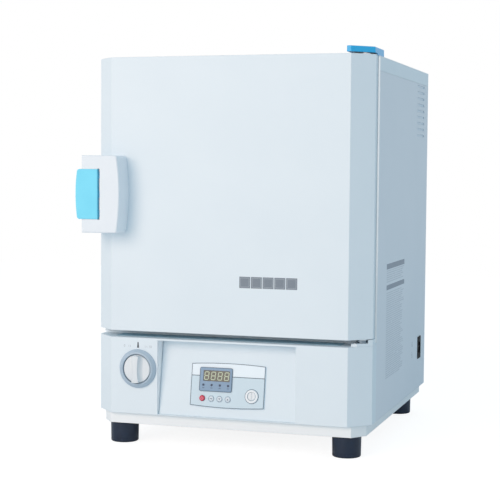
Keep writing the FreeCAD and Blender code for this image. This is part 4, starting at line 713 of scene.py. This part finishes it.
class OvenDisplay(bpy.types.Operator):
    """Window and lit digits of the display"""
    bl_idname = "oven.display"
    bl_label = "Display"

    def execute(self, context):
        sizes = context.scene.oven_sizes
        bezel = moulded_plastic("moulded ABS, blue-grey bezel", "#7494b2", "#80a1be", 0.4, edge=0.4)
        finish_nodes(bezel, "display_bezel")
        window = smoked_window("smoked acrylic window")
        finish_nodes(window, "display_window")
        digit = lit_digit("lit segment, pale yellow", "#becdb2", 0.06)
        tall = sizes.digit_height / MM
        wide = 0.58 * tall - SEGMENT_WIDTH
        step = (tall - SEGMENT_WIDTH) / 2
        pitch, gap, slant = 9.8, 0.12, 0.09
        window_top, bar_thick = 2.69, 0.07
        middle_a, middle_s = slope_spot("display_window")
        shapes = []
        for i in range(sizes.digit_count):
            left = middle_a + (i - (sizes.digit_count - 1) / 2) * pitch - wide / 2
            for start, end in SEGMENTS.values():
                bar = segment((start[0] * wide, start[1] * step), (end[0] * wide, end[1] * step),
                              SEGMENT_WIDTH, gap)
                lean = slant * (bar[:, 1] - step)
                bar = np.stack([left + bar[:, 0] + lean, middle_s - step + bar[:, 1]], -1)
                shapes.append(printed(bar, window_top, on_slope, film=bar_thick))
        make_piece("display_digits", combined(shapes), digit, "cabinet")
        lamp = moulded_plastic("tinted lamp lens, unlit", "#2b3c55", "#374963", 0.4, edge=0.3, sheen=0.3)
        finish_nodes(lamp, "indicator_lamps")
        return {"FINISHED"}


class OvenControlPrint(bpy.types.Operator):
    """Printed tones, rings and marks of the control panel and its keys"""
    bl_idname = "oven.control_print"
    bl_label = "Control print"

    def execute(self, context):
        # Heights off the recess's floor of what is printed on, and the panel's outline
        plate_top, bezel_top, key_top, button_top, dial_top = 2.0, 3.2, 3.2, 4.4, 3.4
        left, right, low, high, arch = -54.8, 53.0, 15.5, 73.9, 2.1
        split, half_rule = 57.2, 0.5
        bezel_left, bezel_right, bezel_low, bezel_high = -42.1, 5.7, 35.6, 69.1
        panel = printed_panel("screen-printed panel, two tones", "#e6f4fd", "#c8deea", split)
        finish_nodes(panel, "control_plate")
        line = ink("screen ink and painted shade, slate", "#526678", "#5d7182")
        dial = slope_spot("setting_dial")
        # The rule between the two tones, on either side of the bezel
        shapes = [printed(rect_outline(start, end, split - half_rule, split + half_rule), plate_top, on_slope)
                  for start, end in ((left + 0.3, bezel_left), (bezel_right, right - 0.3))]
        # The line round the panel just inside its edge, the dark joint round the bezel and the dial's dark
        # ring, which partly paints the shade at the dial's edge
        joint = 0.6
        shapes += [band(barrel_outline(left + 0.05, right - 0.05, low + 0.1, high - 0.1, arch),
                        barrel_outline(left + 0.95, right - 0.95, low + 0.95, high - 0.95, arch),
                        plate_top + LIFT, plate_top + LIFT + FILM, on_slope),
                   band(rect_outline(bezel_left, bezel_right, bezel_low, bezel_high, 2.4),
                        rect_outline(bezel_left + joint, bezel_right - joint, bezel_low + joint,
                                     bezel_high - joint, 1.9),
                        plate_top + LIFT, bezel_top + LIFT, on_slope),
                   printed_ring(dial, 10.1, 9.5, plate_top, on_slope)]
        make_piece("control_lines", combined(shapes), line, "cabinet")
        soft = ink("screen ink, soft grey-blue", "#93a7b8", "#9db0c0")
        rings = [printed_ring(slope_spot(key), 4.5, 4.1, plate_top, on_slope)
                 for key in ("key_left", "key_middle", "key_right")]
        make_piece("key_rings", combined(rings), soft, "cabinet")
        inlay = ink("pointer inlay, pale grey", "#ccd6de", "#d5dee5")
        # The dial's pointer is a bar let into its face
        x, s = dial
        half_wide, half_long, inlay_low, inlay_high = 0.58, 4.15, 1.85, 2.9
        shape = plate(rect_outline(x - half_wide, x + half_wide, s - half_long, s + half_long),
                      inlay_low, inlay_high, on_slope)
        make_piece("dial_pointer", shape, inlay, "dial")
        pale_ring = ink("screen ink, pale ring", "#e9f1f6", "#f0f6fa")
        make_piece("dial_ring", printed_ring(dial, 9.0, 6.3, dial_top, on_slope), pale_ring, "cabinet")
        legend = ink("screen ink, legend slate", "#566f8c", "#627b97")
        dash_low, dash_high, lamp_s = 39.9, 41.0, 44.5
        dashes = [printed(rect_outline(x - 1.6, x + 1.6, dash_low, dash_high), bezel_top, on_slope)
                  for x in LAMPS]
        dashes += [printed_ring((x, lamp_s), 1.9, 1.35, bezel_top, on_slope) for x in LAMPS]
        make_piece("lamp_legends", combined(dashes), legend, "cabinet")
        mark = ink("screen ink, mid grey", "#7c8c9b", "#8797a5")
        arrows = {"key_left": [(-2.0, -0.5), (0.2, -0.5), (0.2, -1.5), (2.0, 0.0), (0.2, 1.5), (0.2, 0.5),
                               (-2.0, 0.5)],
                  "key_middle": [(0.0, -1.5), (1.6, 1.2), (-1.6, 1.2)],
                  "key_right": [(-1.6, -1.2), (1.6, -1.2), (0.0, 1.5)]}
        for key, outline in arrows.items():
            shape = printed(np.array(outline) + slope_spot(key), key_top, on_slope)
            make_piece(key + "_mark", shape, mark, key)
        pale = ink("screen ink, pale pink", "#d98aa0", "#e097ab")
        # Standby mark: a circle open by 70 degrees at its top, with a bar in the gap
        x, s = slope_spot("power_button")
        angle = np.linspace(math.radians(125), math.radians(415), 30)
        circle = np.stack([np.cos(angle), np.sin(angle)], -1)
        outer, inner = 1.9 * circle, 1.4 * circle[::-1]
        standby = [printed(np.concatenate([outer, inner]) + (x, s), button_top, on_slope),
                   printed(rect_outline(x - 0.25, x + 0.25, s + 0.3, s + 2.3), button_top, on_slope)]
        make_piece("power_mark", combined(standby), pale, "power_button")
        return {"FINISHED"}


class OvenFrontPrint(bpy.types.Operator):
    """Damper scale on the fascia and bare grey tiles on the door"""
    bl_idname = "oven.front_print"
    bl_label = "Front print"

    def execute(self, context):
        dark = ink("screen ink, charcoal", "#303a44", "#3a454f")
        faint = ink("screen ink, faint grey", "#b3bdc6", "#bec7cf")
        # Pointer above the knob, a wedge that narrows upwards, and two ticks on either side of it
        knob_x, scale_z = -131.0, 139.6
        pointer = [(knob_x - 1.4, scale_z), (knob_x + 1.4, scale_z), (knob_x + 0.7, scale_z + 8.1),
                   (knob_x - 0.7, scale_z + 8.1)]
        make_piece("damper_pointer", printed(pointer, 0.0, on_front), dark, "cabinet")
        tall, digits_z = 5.0, 141.5
        marks = [letters(digits, tall, (x, digits_z), LIFT, LIFT + FILM, on_front)
                 for digits, x in (("0", -151.5), ("10", -112.5))]
        marks += [printed(rect_outline(x - 0.25, x + 0.25, scale_z + 0.3, scale_z + 3.3), 0.0, on_front)
                  for x in (-145.0, -142.4, -120.2, -117.6)]
        make_piece("damper_numbers", combined(marks), faint, "cabinet")
        tile = ink("screen ink, tile grey", "#75828f", "#808d99")
        frame_ink = ink("screen ink, tile frame", "#9aa6b1", "#a6b1bb")
        first, pitch, size_x, low, high = 18.3, 16.7, 15.6, 229.0, 244.7
        inset, rim = 1.5, 0.6
        frame_low, frame_high = 0.07, 0.1
        tiles = []
        frames = []
        for i in range(5):
            left = first + pitch * i
            right = left + size_x
            tiles.append(printed(rect_outline(left, right, low, high), 0.0, on_front, film=THIN_FILM))
            outer, inner = (rect_outline(left + by, right - by, low + by, high - by)
                            for by in (inset, inset + rim))
            frames.append(band(outer, inner, frame_low, frame_high, on_front))
        make_piece("door_tiles", combined(tiles), tile, "door")
        make_piece("door_tile_frames", combined(frames), frame_ink, "door")
        return {"FINISHED"}


class OvenSidePrint(bpy.types.Operator):
    """Blank ruled notes and the breaker's marks on the right-hand side"""
    bl_idname = "oven.side_print"
    bl_label = "Side print"

    def execute(self, context):
        bar = ink("screen ink, header slate", "#8290a0", "#8f9dac")
        rule = ink("screen ink, rule grey", "#c3ced8", "#ccd6e0")
        left, right = 114.0, 242.0
        heads = [printed(rect_outline(left, right, low, high), 0.0, on_right, film=THIN_FILM)
                 for low, high in ((251.6, 259.2), (222.2, 229.0))]
        make_piece("side_headers", combined(heads), bar, "cabinet")
        # Two blocks of ruled lines, each line broken at three places drawn by chance
        pitch, thick, gap, shortest = 3.1, 1.5, 2.2, 2.0
        rng = np.random.default_rng(7)
        lines = []
        for start, end in ((233.0, 249.5), (96.0, 220.0)):
            for z in np.arange(start, end, pitch):
                stops = np.sort(rng.uniform(left + 14.0, right - 8.0, 3))
                begins = np.concatenate([[left], stops + gap])
                ends = np.concatenate([stops, [right - rng.uniform(0.0, 30.0)]])
                lines += [printed(rect_outline(a, b, z, z + thick), 0.0, on_right, film=0.03)
                          for a, b in zip(begins, ends) if b - a > shortest]
        make_piece("side_rules", combined(lines), rule, "cabinet")
        dark = ink("screen ink, switch mark", "#5c6873", "#66727d")
        breaker_y, tall = 314.0, 5.4
        marks = [letters(word, tall, (z, -breaker_y), LIFT, LIFT + THIN_FILM, up_right)
                 for word, z in (("ON", 121.0), ("OFF", 104.5))]
        make_piece("breaker_marks", combined(marks), dark, "cabinet")
        return {"FINISHED"}


class OvenStage(bpy.types.Operator):
    """Pale floor, soft studio light and the camera"""
    bl_idname = "oven.stage"
    bl_label = "Stage"

    def execute(self, context):
        scene = context.scene
        scene.view_settings.view_transform = "Standard"
        world = bpy.data.worlds.new("studio")
        scene.world = world
        world.use_nodes = True
        tree = world.node_tree
        tree.nodes.clear()
        # The lens, gloss and glass see plain white; the paint is lit by a dimmer, bluish room
        path = add(tree, "ShaderNodeLightPath")
        glossy = add(tree, "ShaderNodeMath", {"operation": "MAXIMUM"},
                     {0: path.outputs["Is Camera Ray"], 1: path.outputs["Is Glossy Ray"]})
        seen = add(tree, "ShaderNodeMath", {"operation": "MAXIMUM"},
                   {0: glossy.outputs[0], 1: path.outputs["Is Transmission Ray"]})
        room = add(tree, "ShaderNodeBackground", None, {"Color": (0.70, 0.88, 1.0, 1.0), "Strength": 0.63})
        white = add(tree, "ShaderNodeBackground", None, {"Color": (1.0, 1.0, 1.0, 1.0), "Strength": 1.0})
        both = add(tree, "ShaderNodeMixShader", None,
                   {0: seen.outputs[0], 1: room.outputs[0], 2: white.outputs[0]})
        add(tree, "ShaderNodeOutputWorld", None, {"Surface": both.outputs[0]})

        half = 3.0
        mesh = bpy.data.meshes.new("studio_floor")
        mesh.from_pydata([(-half, -half, 0), (half, -half, 0), (half, half, 0), (-half, half, 0)], [],
                         [(0, 1, 2, 3)])
        material = bpy.data.materials.new("matt white floor")
        material.use_nodes = True
        tree = material.node_tree
        tree.nodes.clear()
        # To the lens the floor is mostly lit white, and keeps part of the oven's shadow
        path = add(tree, "ShaderNodeLightPath")
        matt = add(tree, "ShaderNodeBsdfDiffuse", None, {"Color": (0.9, 0.9, 0.9, 1.0)})
        lit = add(tree, "ShaderNodeEmission", None, {"Color": (1.0, 1.0, 1.0, 1.0), "Strength": 1.25})
        share = add(tree, "ShaderNodeMath", {"operation": "MULTIPLY"},
                    {0: path.outputs["Is Camera Ray"], 1: 0.7})
        blend = add(tree, "ShaderNodeMixShader", None,
                    {0: share.outputs[0], 1: matt.outputs[0], 2: lit.outputs[0]})
        add(tree, "ShaderNodeOutputMaterial", None, {"Surface": blend.outputs[0]})
        mesh.materials.append(material)
        floor = bpy.data.objects.new("studio_floor", mesh)
        scene.collection.objects.link(floor)

        # One large soft lamp, well in front of the oven and to its left, warm against the bluish room
        spot = Vector((-1.05, -2.82, 1.2))
        aim = Vector((0.0, 0.0, 0.25))
        light = bpy.data.lights.new("key", "AREA")
        light.shape = "DISK"
        light.size = 2.1
        light.energy = 45.5
        light.color = (1.0, 0.764, 0.627)
        lamp = bpy.data.objects.new("key", light)
        turn = (aim - spot).to_track_quat("-Z", "Y").to_matrix().to_4x4()
        lamp.matrix_world = Matrix.Translation(spot) @ turn
        scene.collection.objects.link(lamp)

        # The camera stands where the photo's straight edges put it; its angles are in radians
        yaw, pitch, roll = 0.3054, 0.0605, 0.0073
        ahead = np.array([-math.sin(yaw) * math.cos(pitch), math.cos(yaw) * math.cos(pitch), -math.sin(pitch)])
        level = np.array([math.cos(yaw), math.sin(yaw), 0.0])
        above = np.cross(level, ahead)
        right = level * math.cos(roll) + above * math.sin(roll)
        up = -level * math.sin(roll) + above * math.cos(roll)
        spot = np.array([591.75, -1771.26, 394.12]) * MM + SHIFT
        lens = bpy.data.cameras.new("photo_view")
        lens.sensor_width = 36.0
        lens.lens = 98.02
        lens.clip_start = 0.05
        camera = bpy.data.objects.new("photo_view", lens)
        rows = np.eye(4)
        rows[:3, 0] = right
        rows[:3, 1] = up
        rows[:3, 2] = -ahead
        rows[:3, 3] = spot
        camera.matrix_world = Matrix(rows.tolist())
        scene.collection.objects.link(camera)
        scene.camera = camera
        return {"FINISHED"}


OPERATORS = (OvenStage, OvenSheetMetal, OvenSideTrim, OvenInterior, OvenMouldings, OvenHardware,
             OvenScrews, OvenDoorSeal, OvenDisplay, OvenControlPrint, OvenFrontPrint, OvenSidePrint)


class OvenPanel(bpy.types.Panel):
    """Lists the oven's pieces, sizes and colours"""
    bl_idname = "VIEW3D_PT_drying_oven"
    bl_label = "Drying oven"
    bl_space_type = "VIEW_3D"
    bl_region_type = "UI"
    bl_category = "Drying oven"

    def draw(self, context):
        layout = self.layout
        for group in (context.scene.oven_colours, context.scene.oven_sizes):
            for name in group.bl_rna.properties.keys():
                if name not in ("rna_type", "name"):
                    layout.prop(group, name)
        for operator in OPERATORS:
            layout.operator(operator.bl_idname)


CLASSES = (OvenColours, OvenSizes) + OPERATORS + (OvenPanel,)


def register():
    """Adds the classes and the scene's two groups of values."""
    for each in CLASSES:
        bpy.utils.register_class(each)
    bpy.types.Scene.oven_colours = PointerProperty(type=OvenColours)
    bpy.types.Scene.oven_sizes = PointerProperty(type=OvenSizes)


def unregister():
    """Takes them away again."""
    del bpy.types.Scene.oven_sizes
    del bpy.types.Scene.oven_colours
    for each in reversed(CLASSES):
        bpy.utils.unregister_class(each)


def main():
    """Registers the add-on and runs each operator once."""
    register()
    for operator in OPERATORS:
        group, name = operator.bl_idname.split(".")
        getattr(getattr(bpy.ops, group), name)()


if __name__ == "__main__":
    main()
